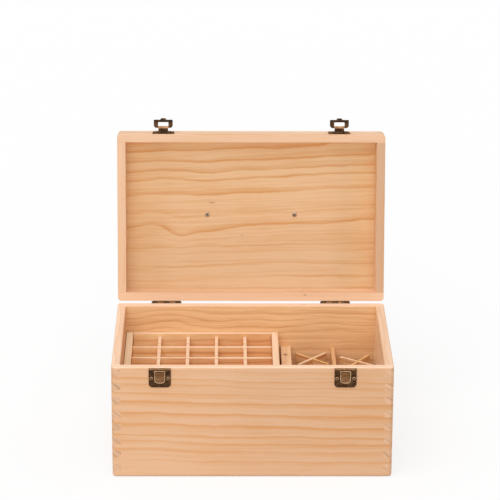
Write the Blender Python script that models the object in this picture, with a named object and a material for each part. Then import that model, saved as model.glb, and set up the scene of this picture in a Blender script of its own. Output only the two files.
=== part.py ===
"""Pine storage box for essential oil bottles, with its lid held open.

Metres, +Z up.  The origin is the middle of the box's footprint, on the
surface it stands on; the front, with the latches, looks along -Y.
Lid pieces are drawn where they lie with the lid closed and hang on an empty
on the hinge axis, which is turned to the open angle.
"""
import math

import bmesh
import bpy
from mathutils import Matrix, Vector

# Box shell
BOX_WIDTH = 0.320
BOX_DEPTH = 0.202
BOX_HEIGHT = 0.136
BOARD = 0.010
FINGER = 0.00832
EDGE_ROUND = 0.0035
EDGE_SEGMENTS = 2
FLOOR = 0.005
RABBET = 0.004

# Clearances: between glued or resting faces, and the overrun of every cut
SEAT_GAP = 0.0003
OVERRUN = 0.002

# Faces that meet at less than this angle are shaded as one round surface
SMOOTH_DEG = 40

# Lid
SAW_GAP = 0.0006
LID_FRAME = 0.028
LID_PANEL = 0.008
LID_OPEN_DEG = 100.4

# Hinges on the back faces; the inset is from the box's end to their middle
HINGE_INSET = 0.0585
HINGE_WIDTH = 0.034
HINGE_LEAF = 0.016
HINGE_SHEET = 0.0009
HINGE_STANDOFF = 0.0019
HINGE_BARREL_RADIUS = 0.00155
HINGE_PIN_RADIUS = 0.0006
HINGE_PIN_HEAD = 0.0006
HINGE_KNUCKLES = 5
PIN_CLEARANCE = 0.00025
HINGE_SCREW_SPACING = 0.022
HINGE_SCREW_DROP = 0.0098

# Wood screws of the hinges and latches
SCREW_HEAD_RADIUS = 0.0021
SCREW_HEAD_HEIGHT = 0.0010
SCREW_SHANK_RADIUS = 0.0009
SCREW_LENGTH = 0.0075
SCREW_SIDES = 12
HOLE_SIDES = 10
BARREL_SIDES = 16

# Rings of a screw head's dome, in degrees from its crown
DOME_RINGS_DEG = (22.5, 45, 90)

# Latches: a catch on the box, a plate with a swinging hasp on the lid; the
# inset is from the box's end to their middle
LATCH_INSET = 0.055
LATCH_SHEET = 0.0009
LATCH_SCREW_SPACING = 0.0190
CATCH_WIDTH = 0.025
CATCH_HEIGHT = 0.0232
CATCH_DROP = 0.0005
CATCH_CORNER = 0.0035
CATCH_SCREW_DROP = 0.0126
CATCH_LIP_HEIGHT = 0.0021
CATCH_LIP_REACH = 0.0009
SHIELD_WIDTH = 0.0128
SHIELD_HEIGHT = 0.0167
SHIELD_DROP = 0.0034
SHIELD_CORNER = 0.0045
SHIELD_RELIEF = 0.0007
SHIELD_BORDER = 0.0014
SHIELD_PANEL_DEPTH = 0.0003
LID_PLATE_WIDTH = 0.0255
LID_PLATE_HEIGHT = 0.021
LID_PLATE_RISE = 0.0004
LID_PLATE_CORNER = 0.0035
LID_PLATE_SCREW_RISE = 0.0130
HASP_AXIS_RISE = 0.0020
HASP_AXIS_STANDOFF = 0.0022
HASP_BARREL_RADIUS = 0.0014
HASP_PIN_RADIUS = 0.00055
HASP_NECK_WIDTH = 0.0115
HASP_KNUCKLE = 0.0032
HASP_SHEET_OFFSET = 0.0003
HASP_JOGGLE = 0.0009
HASP_NECK_LENGTH = 0.0049
HASP_FRAME_TOP = 0.0063
HASP_FRAME_WIDTH = 0.0225
HASP_FRAME_CORNER = 0.0034
HASP_WINDOW_TOP = 0.0072
HASP_WINDOW_BOTTOM = 0.0125
HASP_WINDOW_WIDTH = 0.0129
HASP_LENGTH = 0.0148
HASP_TAB_LENGTH = 0.0021
HASP_TAB_WIDTH = 0.0078
HASP_TAB_TIP_WIDTH = 0.0048
HASP_TAB_CURL = 0.0008
STAPLE_CLEARANCE = 0.0003
STAPLE_REACH = 0.0028
STAPLE_SIDE_CLEARANCE = 0.0009
STAPLE_TAPER = 0.0003
STAPLE_RAMP_HEIGHT = 0.0009
STAPLE_RAMP_REACH = 0.0006

# Bow handle on the lid, held by two screws from inside
HANDLE_SPACING = 0.1054
HANDLE_HEIGHT = 0.028
HANDLE_ROD_RADIUS = 0.0034
HANDLE_FOOT_RADIUS = 0.0065
HANDLE_FOOT_HEIGHT = 0.0024
HANDLE_SQUARENESS = 3.2
HANDLE_STEPS = 16
HANDLE_SIDES = 8
HANDLE_SCREW_RADIUS = 0.0018
HANDLE_SCREW_HEAD_RADIUS = 0.0036
HANDLE_SCREW_HEAD_HEIGHT = 0.0020
HANDLE_SCREW_BITE = 0.007

# Bottle trays: the upper one stands on the end boards of the lower one
CELL = 0.030
DIVIDER = 0.004
TRAY_END = 0.008
TRAY_RAIL = 0.005
TRAY_SIDE_GAP = 0.0007
TRAY_BACK_GAP = 0.001
UPPER_TRAY_UNDERSIDE = 0.076
UPPER_TRAY_HEIGHT = 0.027
UPPER_TRAY_FLOOR = 0.003
UPPER_DIVIDER_DROP = 0.004
LOWER_RAIL_HEIGHT = 0.045
LOWER_DIVIDER_HEIGHT = 0.041

# Right-hand compartment for tall bottles
PARTITION = 0.012
PARTITION_GAP = 0.0033
PARTITION_TOP = 0.0848
TALL_DIVIDER = 0.0045
TALL_DIVIDER_TOP = 0.082
TALL_COLUMNS = 2
TALL_ROWS = 3
TALL_CELL_LEAST = 0.045
CROSS_CLEARANCE = 0.0067
CROSS_PLATE = 0.003
CROSS_TOP = 0.0785
# Where each loose crossed insert stands: column, row from the front, its
# turn in degrees and its shift from the middle of its cell, in cell shares
CROSS_PLACE_SHARES = (
    (0, 2, 3.0, 0.022, 0.090),
    (1, 2, 11.0, 0.048, -0.062),
    (0, 1, -4.0, -0.020, 0.035),
    (1, 1, 6.0, 0.015, -0.040),
    (0, 0, 5.0, 0.018, -0.030),
    (1, 0, -6.0, -0.024, 0.045),
)

# Places worked out from the sizes above
HALF_WIDTH = BOX_WIDTH / 2
HALF_DEPTH = BOX_DEPTH / 2
INNER_X = HALF_WIDTH - BOARD
INNER_Y = HALF_DEPTH - BOARD
LID_RIM = BOX_HEIGHT + SAW_GAP
LID_FRAME_TOP = LID_RIM + LID_FRAME
LID_TOP = LID_FRAME_TOP + SEAT_GAP + LID_PANEL
HINGE_AXIS = Vector((0, HALF_DEPTH + HINGE_STANDOFF, BOX_HEIGHT + SAW_GAP / 2))
HINGE_X = HALF_WIDTH - HINGE_INSET
LATCH_X = HALF_WIDTH - LATCH_INSET
HASP_AXIS_Z = LID_RIM + HASP_AXIS_RISE
HASP_AXIS_Y = -(HALF_DEPTH + HASP_AXIS_STANDOFF)
SHEET_INNER = HALF_DEPTH + SEAT_GAP
CATCH_TOP = BOX_HEIGHT - CATCH_DROP
# As many columns of cells as leave the tall cells their least width
TALL_SIDE_LEAST = PARTITION + TALL_COLUMNS * TALL_CELL_LEAST + (TALL_COLUMNS - 1) * TALL_DIVIDER
COLUMN_SPACE = 2 * (INNER_X - TRAY_END) - TRAY_SIDE_GAP - PARTITION_GAP - TALL_SIDE_LEAST
COLUMNS = math.floor((COLUMN_SPACE + DIVIDER) / (CELL + DIVIDER))
TRAY_WIDTH = COLUMNS * CELL + (COLUMNS - 1) * DIVIDER + 2 * TRAY_END
# As many rows of cells as the box's depth takes
ROW_SPACE = 2 * INNER_Y - TRAY_BACK_GAP - SEAT_GAP - 2 * TRAY_RAIL
ROWS = math.floor((ROW_SPACE + DIVIDER) / (CELL + DIVIDER))
TRAY_DEPTH = ROWS * CELL + (ROWS - 1) * DIVIDER + 2 * TRAY_RAIL
TRAY_LEFT = TRAY_SIDE_GAP - INNER_X
TRAY_RIGHT = TRAY_LEFT + TRAY_WIDTH
TRAY_BACK = INNER_Y - TRAY_BACK_GAP
TRAY_FRONT = TRAY_BACK - TRAY_DEPTH
PARTITION_LEFT = TRAY_RIGHT + PARTITION_GAP
PARTITION_RIGHT = PARTITION_LEFT + PARTITION
TALL_CELL_X = (INNER_X - PARTITION_RIGHT - (TALL_COLUMNS - 1) * TALL_DIVIDER) / TALL_COLUMNS
TALL_CELL_Y = (2 * INNER_Y - (TALL_ROWS - 1) * TALL_DIVIDER) / TALL_ROWS
# The plates of an insert reach across the smaller side of their cell at 45
# degrees, short of its walls by the clearance
CROSS_REACH = min(TALL_CELL_X, TALL_CELL_Y) - 2 * CROSS_CLEARANCE
CROSS_PLATE_LENGTH = CROSS_REACH * math.sqrt(2)
STANDING = FLOOR + SEAT_GAP

PINE = {"color": (0.80, 0.56, 0.36, 1), "roughness": 0.62, "metallic": 0.0}
PINE_INSIDE = {"color": (0.74, 0.47, 0.27, 1), "roughness": 0.66, "metallic": 0.0}
BRONZE = {"color": (0.115, 0.075, 0.045, 1), "roughness": 0.42, "metallic": 0.85}
BRASS = {"color": (0.36, 0.24, 0.12, 1), "roughness": 0.38, "metallic": 0.85}


def clear_scene():
    """Remove whatever the scene holds."""
    for item in list(bpy.data.objects):
        bpy.data.objects.remove(item, do_unlink=True)


def material(name, finish):
    """A Principled material of one finish, made once."""
    found = bpy.data.materials.get(name)
    if found:
        return found
    made = bpy.data.materials.new(name)
    made.use_nodes = True
    shader = made.node_tree.nodes["Principled BSDF"]
    shader.inputs["Base Color"].default_value = finish["color"]
    shader.inputs["Roughness"].default_value = finish["roughness"]
    shader.inputs["Metallic"].default_value = finish["metallic"]
    made.diffuse_color = finish["color"]
    return made


FINISHES = {
    "pine": PINE,
    "pine_inside": PINE_INSIDE,
    "bronze": BRONZE,
    "brass": BRASS,
}


def object_from(bm, name, finish="pine", smooth=False):
    """Turn a bmesh into a named object whose faces point outwards."""
    bmesh.ops.recalc_face_normals(bm, faces=bm.faces)
    mesh = bpy.data.meshes.new(name)
    bm.to_mesh(mesh)
    bm.free()
    if smooth:
        mesh.shade_smooth()
        mesh.set_sharp_from_angle(angle=math.radians(SMOOTH_DEG))
    mesh.materials.append(material(finish, FINISHES[finish]))
    made = bpy.data.objects.new(name, mesh)
    bpy.context.scene.collection.objects.link(made)
    return made


def add_prism(bm, outline, plane, low, high):
    """Extrude a closed outline of (a, b) points between two heights.

    plane names the axes that a and b run along: xy, xz or yz.
    """
    place = {
        "xy": lambda a, b, t: (a, b, t),
        "xz": lambda a, b, t: (a, t, b),
        "yz": lambda a, b, t: (t, a, b),
    }[plane]
    near = [bm.verts.new(place(a, b, low)) for a, b in outline]
    far = [bm.verts.new(place(a, b, high)) for a, b in outline]
    bm.faces.new(near)
    bm.faces.new(far)
    count = len(outline)
    for index in range(count):
        after = (index + 1) % count
        bm.faces.new((near[index], near[after], far[after], far[index]))


def prism(name, outline, plane, low, high, finish="pine"):
    """A single extruded outline as an object."""
    bm = bmesh.new()
    add_prism(bm, outline, plane, low, high)
    return object_from(bm, name, finish)


def rectangle(low_a, high_a, low_b, high_b):
    """The four corners of an upright rectangle."""
    return [(low_a, low_b), (high_a, low_b), (high_a, high_b), (low_a, high_b)]


def block(name, low, high, finish="pine"):
    """A plain board between two corners."""
    outline = rectangle(low[0], high[0], low[1], high[1])
    return prism(name, outline, "xy", low[2], high[2], finish)


def add_round(bm, profile, sides, start, direction):
    """Turn a profile of (radius, distance) pairs about a line.

    The line leaves start along direction; both ends are closed flat.
    """
    turn = Vector(direction).to_track_quat("Z", "Y").to_matrix().to_4x4()
    place = Matrix.Translation(start) @ turn
    rings = []
    for radius, distance in profile:
        ring = []
        for side in range(sides):
            angle = 2 * math.pi * (side + 0.5) / sides
            point = Vector((radius * math.cos(angle), radius * math.sin(angle), distance))
            ring.append(bm.verts.new(place @ point))
        rings.append(ring)
    for lower, upper in zip(rings, rings[1:]):
        for side in range(sides):
            after = (side + 1) % sides
            bm.faces.new((lower[side], lower[after], upper[after], upper[side]))
    bm.faces.new(rings[0])
    bm.faces.new(rings[-1])


def rods(name, radius, length, sides, places, direction, finish="bronze"):
    """Round rods of one size that leave each place along one direction."""
    bm = bmesh.new()
    for place in places:
        add_round(bm, [(radius, 0), (radius, length)], sides, place, direction)
    return object_from(bm, name, finish, smooth=True)


def combine(target, tool, operation):
    """Apply a Boolean of the tool to the target and remove the tool."""
    modifier = target.modifiers.new(operation, "BOOLEAN")
    modifier.operation = operation
    modifier.solver = "EXACT"
    modifier.object = tool
    bpy.context.view_layer.update()
    graph = bpy.context.evaluated_depsgraph_get()
    result = bpy.data.meshes.new_from_object(target.evaluated_get(graph))
    target.modifiers.clear()
    spares = (target.data, tool.data)
    target.data = result
    bpy.data.objects.remove(tool)
    for spare in spares:
        bpy.data.meshes.remove(spare)
    return target


def cut(target, tool):
    """Take the tool's volume out of the target."""
    return combine(target, tool, "DIFFERENCE")


def fuse(target, tool):
    """Join the tool to the target as one closed body."""
    return combine(target, tool, "UNION")


def trim(target, tool):
    """Keep only what of the target lies inside the tool."""
    return combine(target, tool, "INTERSECT")


def pivot(name, place, turn_deg, parent=None):
    """An empty on a joint's axis, turned about X."""
    empty = bpy.data.objects.new(name, None)
    empty.location = place
    empty.rotation_euler = (math.radians(turn_deg), 0, 0)
    empty.parent = parent
    bpy.context.scene.collection.objects.link(empty)
    return empty


def hang(item, empty, drawn_at):
    """Carry an item on an empty; drawn_at is the axis point it was drawn round."""
    item.parent = empty
    item.location = -Vector(drawn_at)
    return item


def rounded_envelope(name, low_z, high_z, round_low, round_high):
    """The outer shape of the box: a block with sanded corners and edges."""
    bm = bmesh.new()
    outline = rectangle(-HALF_WIDTH, HALF_WIDTH, -HALF_DEPTH, HALF_DEPTH)
    add_prism(bm, outline, "xy", low_z, high_z)
    chosen = []
    for edge in bm.edges:
        heights = [vert.co.z for vert in edge.verts]
        middle = sum(heights) / 2
        upright = abs(heights[0] - heights[1]) > SEAT_GAP
        at_low = round_low and abs(middle - low_z) < SEAT_GAP
        at_high = round_high and abs(middle - high_z) < SEAT_GAP
        if upright or at_low or at_high:
            chosen.append(edge)
    bmesh.ops.bevel(
        bm,
        geom=chosen,
        offset=EDGE_ROUND,
        segments=EDGE_SEGMENTS,
        profile=0.5,
        affect="EDGES",
        clamp_overlap=True,
    )
    return object_from(bm, name)


def finger_spans(low_z, high_z, own_even):
    """Heights over which a board's fingers reach its outer end face."""
    spans = []
    for index in range(math.ceil(high_z / FINGER)):
        start = index * FINGER
        end = start + FINGER
        own = (index % 2 == 0) == own_even
        if not own or end <= low_z:
            continue
        bottom = low_z if start <= low_z else start + SEAT_GAP / 2
        top = high_z if end >= high_z else end - SEAT_GAP / 2
        if top - bottom > SEAT_GAP:
            spans.append((bottom, top))
    return spans


def finger_outline(length, low_z, high_z, own_even):
    """A board's face with fingers at both ends."""
    out = length / 2
    back = out - BOARD - SEAT_GAP
    right = []
    height = low_z
    for bottom, top in finger_spans(low_z, high_z, own_even):
        if bottom > height:
            right += [(back, height), (back, bottom)]
        right += [(out, bottom), (out, top)]
        height = top
    if height < high_z:
        right += [(back, height), (back, high_z)]
    left = [(-along, height) for along, height in reversed(right)]
    return right + left


def finger_boards(prefix, low_z, high_z, envelope):
    """Four boards whose fingers lock at the corners, sanded to the envelope.

    envelope is a function that makes a fresh envelope for each board.
    """
    long_face = finger_outline(BOX_WIDTH, low_z, high_z, True)
    short_face = finger_outline(BOX_DEPTH, low_z, high_z, False)
    boards = {
        "front": prism(f"{prefix}_front_board", long_face, "xz", -HALF_DEPTH, -INNER_Y),
        "back": prism(f"{prefix}_back_board", long_face, "xz", INNER_Y, HALF_DEPTH),
        "left": prism(f"{prefix}_left_board", short_face, "yz", -HALF_WIDTH, -INNER_X),
        "right": prism(f"{prefix}_right_board", short_face, "yz", INNER_X, HALF_WIDTH),
    }
    for board in boards.values():
        trim(board, envelope())
    return boards


def bored(target, places, direction, radius, length):
    """Drill round holes from each place along one direction."""
    return cut(target, rods("drill", radius, length, HOLE_SIDES, places, direction))


def screw_profile(head_radius, head_height, shank_radius, length):
    """A round-headed screw, from the top of its head to its tip.

    The distance runs from the underside of the head, into the wood.
    """
    profile = []
    for degrees in DOME_RINGS_DEG:
        angle = math.radians(degrees)
        profile.append((head_radius * math.sin(angle), -head_height * math.cos(angle)))
    return profile + [(shank_radius, 0), (shank_radius, length)]


def wood_screw(name, place, direction, finish="bronze"):
    """A small wood screw whose head is seated at the place."""
    profile = screw_profile(
        SCREW_HEAD_RADIUS, SCREW_HEAD_HEIGHT, SCREW_SHANK_RADIUS, SCREW_LENGTH
    )
    bm = bmesh.new()
    add_round(bm, profile, SCREW_SIDES, place, direction)
    return object_from(bm, name, finish, smooth=True)


def wood_screws(name, places, direction, finish="bronze"):
    """Identical screws, one object at each place."""
    return [
        wood_screw(f"{name}_{index + 1}", place, direction, finish)
        for index, place in enumerate(places)
    ]


def pilot_holes(board, places, direction):
    """Holes in a board for the shanks of the screws seated at the places."""
    radius = SCREW_SHANK_RADIUS + SEAT_GAP
    return bored(board, places, direction, radius, SCREW_LENGTH + SEAT_GAP)


def sheet_holes(sheet, places, direction):
    """Holes through a metal sheet under the screw heads."""
    back = Vector(direction) * OVERRUN
    starts = [Vector(place) - back for place in places]
    return bored(sheet, starts, direction, SCREW_SHANK_RADIUS + SEAT_GAP, 2 * OVERRUN + LATCH_SHEET)


def build_shell():
    """The finger-jointed box and its rabbeted floor."""

    def envelope():
        return rounded_envelope("envelope", 0, BOX_HEIGHT + OVERRUN, True, False)

    boards = finger_boards("box", 0, BOX_HEIGHT, envelope)
    seat_x = INNER_X + RABBET
    seat_y = INNER_Y + RABBET
    for board in boards.values():
        cut(board, block("rabbet", (-seat_x, -seat_y, -OVERRUN), (seat_x, seat_y, STANDING)))
    block(
        "bottom_panel",
        (SEAT_GAP - seat_x, SEAT_GAP - seat_y, 0),
        (seat_x - SEAT_GAP, seat_y - SEAT_GAP, FLOOR),
        "pine_inside",
    )
    return boards


def build_lid():
    """The lid's four boards and the panel laid over them, drawn closed."""

    def envelope():
        return rounded_envelope(
            "envelope", LID_RIM - OVERRUN - EDGE_ROUND, LID_TOP + OVERRUN, False, False
        )

    boards = finger_boards("lid", LID_RIM, LID_FRAME_TOP, envelope)
    panel = block(
        "lid_top_panel",
        (-HALF_WIDTH, -HALF_DEPTH, LID_FRAME_TOP + SEAT_GAP),
        (HALF_WIDTH, HALF_DEPTH, LID_TOP),
    )
    trim(panel, rounded_envelope("envelope", LID_RIM, LID_TOP, False, True))
    boards["panel"] = panel
    return boards


def knuckle_spans(width, count):
    """The stretches of a hinge barrel, left to right."""
    each = (width - (count - 1) * SEAT_GAP) / count
    starts = [-width / 2 + index * (each + SEAT_GAP) for index in range(count)]
    return [(start, start + each) for start in starts]


def build_hinge(side, boards_box, boards_lid):
    """One butt hinge: a leaf on each back face and the pin between them.

    The screws of a leaf are joined to it, as it hides behind the box.
    Returns the leaf that the lid carries.
    """
    label = "left" if side < 0 else "right"
    middle = side * HINGE_X
    sheet = (SHEET_INNER, SHEET_INNER + HINGE_SHEET)
    axis_y = HINGE_AXIS.y
    axis_z = HINGE_AXIS.z
    clear = HINGE_BARREL_RADIUS + SEAT_GAP
    leaves = []
    spans = knuckle_spans(HINGE_WIDTH, HINGE_KNUCKLES)
    for up, first, tag in ((-1, 0, "box"), (1, 1, "lid")):
        near = axis_z + up * clear
        far = axis_z + up * HINGE_LEAF
        leaf = block(
            f"hinge_{label}_leaf_{tag}",
            (middle - HINGE_WIDTH / 2, sheet[0], min(near, far)),
            (middle + HINGE_WIDTH / 2, sheet[1], max(near, far)),
            "bronze",
        )
        for start, end in spans[first::2]:
            low = middle + start
            length = end - start
            web_far = near + up * HINGE_SHEET
            fuse(
                leaf,
                block(
                    "web",
                    (low, sheet[0], min(axis_z, web_far)),
                    (low + length, sheet[1], max(axis_z, web_far)),
                ),
            )
            place = (low, axis_y, axis_z)
            knuckle = rods(
                "knuckle", HINGE_BARREL_RADIUS, length, BARREL_SIDES, [place], (1, 0, 0)
            )
            fuse(leaf, knuckle)
        bore_start = (middle - HINGE_WIDTH / 2 - OVERRUN, axis_y, axis_z)
        bore_length = HINGE_WIDTH + 2 * OVERRUN
        bored(leaf, [bore_start], (1, 0, 0), HINGE_PIN_RADIUS + PIN_CLEARANCE, bore_length)
        seats = [
            (middle + across * HINGE_SCREW_SPACING / 2, sheet[1], axis_z + up * HINGE_SCREW_DROP)
            for across in (-1, 1)
        ]
        pilot_holes((boards_box if up < 0 else boards_lid)["back"], seats, (0, -1, 0))
        for seat in seats:
            fuse(leaf, wood_screw("screw", seat, (0, -1, 0)))
        leaves.append(leaf)
    length = HINGE_WIDTH + 2 * SEAT_GAP
    profile = [
        (HINGE_BARREL_RADIUS, -HINGE_PIN_HEAD),
        (HINGE_BARREL_RADIUS, 0),
        (HINGE_PIN_RADIUS, 0),
        (HINGE_PIN_RADIUS, length),
        (HINGE_BARREL_RADIUS, length),
        (HINGE_BARREL_RADIUS, length + HINGE_PIN_HEAD),
    ]
    bm = bmesh.new()
    add_round(bm, profile, BARREL_SIDES, (middle - length / 2, axis_y, axis_z), (1, 0, 0))
    object_from(bm, f"hinge_{label}_pin", "bronze", smooth=True)
    return leaves[1]


def corner_arc(center, radius, start_deg, steps=3):
    """Points of a quarter circle, counter-clockwise."""
    points = []
    for step in range(steps + 1):
        angle = math.radians(start_deg + 90 * step / steps)
        points.append((center[0] + radius * math.cos(angle), center[1] + radius * math.sin(angle)))
    return points


def round_bottomed(middle, width, low, high, corner):
    """A plate outline with its two lower corners rounded."""
    left = middle - width / 2
    right = middle + width / 2
    outline = corner_arc((left + corner, low + corner), corner, 180)
    outline += corner_arc((right - corner, low + corner), corner, 270)
    return outline + [(right, high), (left, high)]


def round_topped(middle, width, low, high, corner):
    """A plate outline with its two upper corners rounded."""
    left = middle - width / 2
    right = middle + width / 2
    outline = [(left, low), (right, low)]
    outline += corner_arc((right - corner, high - corner), corner, 0)
    return outline + corner_arc((left + corner, high - corner), corner, 90)


def build_catch(side, boards):
    """The catch plate on the box: lip, raised shield and the hasp's staple."""
    label = "left" if side < 0 else "right"
    middle = side * LATCH_X
    face = -(SHEET_INNER + LATCH_SHEET)
    outline = round_bottomed(
        middle, CATCH_WIDTH, CATCH_TOP - CATCH_HEIGHT, CATCH_TOP, CATCH_CORNER
    )
    catch = prism(f"catch_{label}", outline, "xz", face, -SHEET_INNER, "bronze")
    lip = block(
        "lip",
        (middle - CATCH_WIDTH / 2, face - CATCH_LIP_REACH, CATCH_TOP - CATCH_LIP_HEIGHT),
        (middle + CATCH_WIDTH / 2, face + LATCH_SHEET / 2, CATCH_TOP),
    )
    fuse(catch, lip)
    shield_top = BOX_HEIGHT - SHIELD_DROP
    shield_low = shield_top - SHIELD_HEIGHT
    raised = round_bottomed(middle, SHIELD_WIDTH, shield_low, shield_top, SHIELD_CORNER)
    shield_face = face - SHIELD_RELIEF
    fuse(catch, prism("shield", raised, "xz", shield_face, face + LATCH_SHEET / 2))
    inner = round_bottomed(
        middle,
        SHIELD_WIDTH - 2 * SHIELD_BORDER,
        shield_low + SHIELD_BORDER,
        shield_top - SHIELD_BORDER,
        SHIELD_CORNER - SHIELD_BORDER,
    )
    cut(catch, prism("recess", inner, "xz", shield_face - OVERRUN, shield_face + SHIELD_PANEL_DEPTH))
    high = HASP_AXIS_Z - HASP_WINDOW_TOP - STAPLE_CLEARANCE
    low = HASP_AXIS_Z - HASP_WINDOW_BOTTOM + STAPLE_CLEARANCE
    tip = face - STAPLE_REACH
    outline = [
        (face + LATCH_SHEET / 2, low + STAPLE_TAPER),
        (tip, low),
        (tip, high - STAPLE_RAMP_HEIGHT),
        (tip + STAPLE_RAMP_REACH, high),
        (face + LATCH_SHEET / 2, high),
    ]
    half = HASP_WINDOW_WIDTH / 2 - STAPLE_SIDE_CLEARANCE
    fuse(catch, prism("staple", outline, "yz", middle - half, middle + half))
    seats = [
        (middle + across * LATCH_SCREW_SPACING / 2, face - SEAT_GAP, BOX_HEIGHT - CATCH_SCREW_DROP)
        for across in (-1, 1)
    ]
    sheet_holes(catch, seats, (0, 1, 0))
    pilot_holes(boards["front"], seats, (0, 1, 0))
    return seats


def build_lid_plate(side, boards):
    """The latch plate on the lid, with two knuckles at its lower edge.

    Its screws are joined to it.
    """
    label = "left" if side < 0 else "right"
    middle = side * LATCH_X
    face = -(SHEET_INNER + LATCH_SHEET)
    low = LID_RIM + LID_PLATE_RISE
    outline = round_topped(
        middle, LID_PLATE_WIDTH, low, low + LID_PLATE_HEIGHT, LID_PLATE_CORNER
    )
    plate = prism(f"lid_plate_{label}", outline, "xz", face, -SHEET_INNER, "bronze")
    clear = HASP_BARREL_RADIUS + SEAT_GAP
    notch_half = HASP_NECK_WIDTH / 2 + SEAT_GAP
    notch_top = HASP_AXIS_Z + clear
    cut(
        plate,
        block(
            "notch",
            (middle - notch_half, face - OVERRUN, low - OVERRUN),
            (middle + notch_half, OVERRUN - SHEET_INNER, notch_top),
        ),
    )
    axis = (HASP_AXIS_Y, HASP_AXIS_Z)
    for across in (-1, 1):
        inner = middle + across * notch_half
        outer = inner + across * HASP_KNUCKLE
        start = min(inner, outer)
        place = (start, axis[0], axis[1])
        knuckle = rods(
            "knuckle", HASP_BARREL_RADIUS, HASP_KNUCKLE, BARREL_SIDES, [place], (1, 0, 0)
        )
        fuse(plate, knuckle)
    reach = notch_half + HASP_KNUCKLE
    bore_start = (middle - reach - OVERRUN, axis[0], axis[1])
    bore_length = 2 * (reach + OVERRUN)
    bored(plate, [bore_start], (1, 0, 0), HASP_PIN_RADIUS + PIN_CLEARANCE, bore_length)
    pin = rods(
        f"hasp_pin_{label}",
        HASP_PIN_RADIUS,
        2 * reach,
        HOLE_SIDES,
        [(middle - reach, axis[0], axis[1])],
        (1, 0, 0),
    )
    seats = [
        (middle + across * LATCH_SCREW_SPACING / 2, face, low + LID_PLATE_SCREW_RISE)
        for across in (-1, 1)
    ]
    pilot_holes(boards["front"], seats, (0, 1, 0))
    for seat in seats:
        fuse(plate, wood_screw("screw", seat, (0, 1, 0)))
    return plate, pin


def build_hasp(side):
    """The swinging hasp, drawn hanging down from its axis at the origin."""
    label = "left" if side < 0 else "right"
    inner = -HASP_SHEET_OFFSET
    outer = inner - LATCH_SHEET
    step = -HASP_JOGGLE
    tip = -(HASP_LENGTH + HASP_TAB_LENGTH)
    curl = -HASP_TAB_CURL
    side_view = [
        (inner, 0),
        (inner, -HASP_NECK_LENGTH),
        (inner + step, -HASP_FRAME_TOP),
        (inner + step, -HASP_LENGTH),
        (inner + step + curl, tip),
        (outer + step + curl, tip),
        (outer + step, -HASP_LENGTH),
        (outer + step, -HASP_FRAME_TOP),
        (outer, -HASP_NECK_LENGTH),
        (outer, 0),
    ]
    half = HASP_FRAME_WIDTH / 2
    hasp = prism(f"hasp_{label}", side_view, "yz", -half, half, "bronze")
    neck = HASP_NECK_WIDTH / 2
    corner = HASP_FRAME_CORNER
    frame_low = -HASP_LENGTH
    shoulder = -HASP_NECK_LENGTH - corner
    right = [
        (HASP_TAB_TIP_WIDTH / 2, tip - OVERRUN),
        (HASP_TAB_TIP_WIDTH / 2, tip),
        (HASP_TAB_WIDTH / 2, frame_low),
        (half, frame_low),
    ]
    right += corner_arc((half - corner, shoulder), corner, 0)
    right += [(neck, -HASP_NECK_LENGTH), (neck, HASP_BARREL_RADIUS)]
    left = [(-across, height) for across, height in reversed(right)]
    front_view = prism("front_view", right + left, "xz", outer + step + curl - OVERRUN, OVERRUN)
    trim(hasp, front_view)
    window = HASP_WINDOW_WIDTH / 2
    cut(
        hasp,
        block(
            "window",
            (-window, outer + step - OVERRUN, -HASP_WINDOW_BOTTOM),
            (window, OVERRUN, -HASP_WINDOW_TOP),
        ),
    )
    barrel = rods(
        "barrel", HASP_BARREL_RADIUS, 2 * neck, BARREL_SIDES, [(-neck, 0, 0)], (1, 0, 0)
    )
    fuse(hasp, barrel)
    bore_start = (-neck - OVERRUN, 0, 0)
    bore_length = 2 * (neck + OVERRUN)
    bored(hasp, [bore_start], (1, 0, 0), HASP_PIN_RADIUS + PIN_CLEARANCE, bore_length)
    return hasp


def handle_path():
    """The middle line of the bow: a squared arch, foot to foot."""
    points = []
    rise = HANDLE_HEIGHT - HANDLE_ROD_RADIUS - SEAT_GAP
    power = 2 / HANDLE_SQUARENESS
    for step in range(HANDLE_STEPS + 1):
        angle = math.pi * step / HANDLE_STEPS
        along = abs(math.cos(angle)) ** power * HANDLE_SPACING / 2
        along = along if math.cos(angle) > 0 else -along
        points.append((along, math.sin(angle) ** power * rise))
    return points


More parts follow.
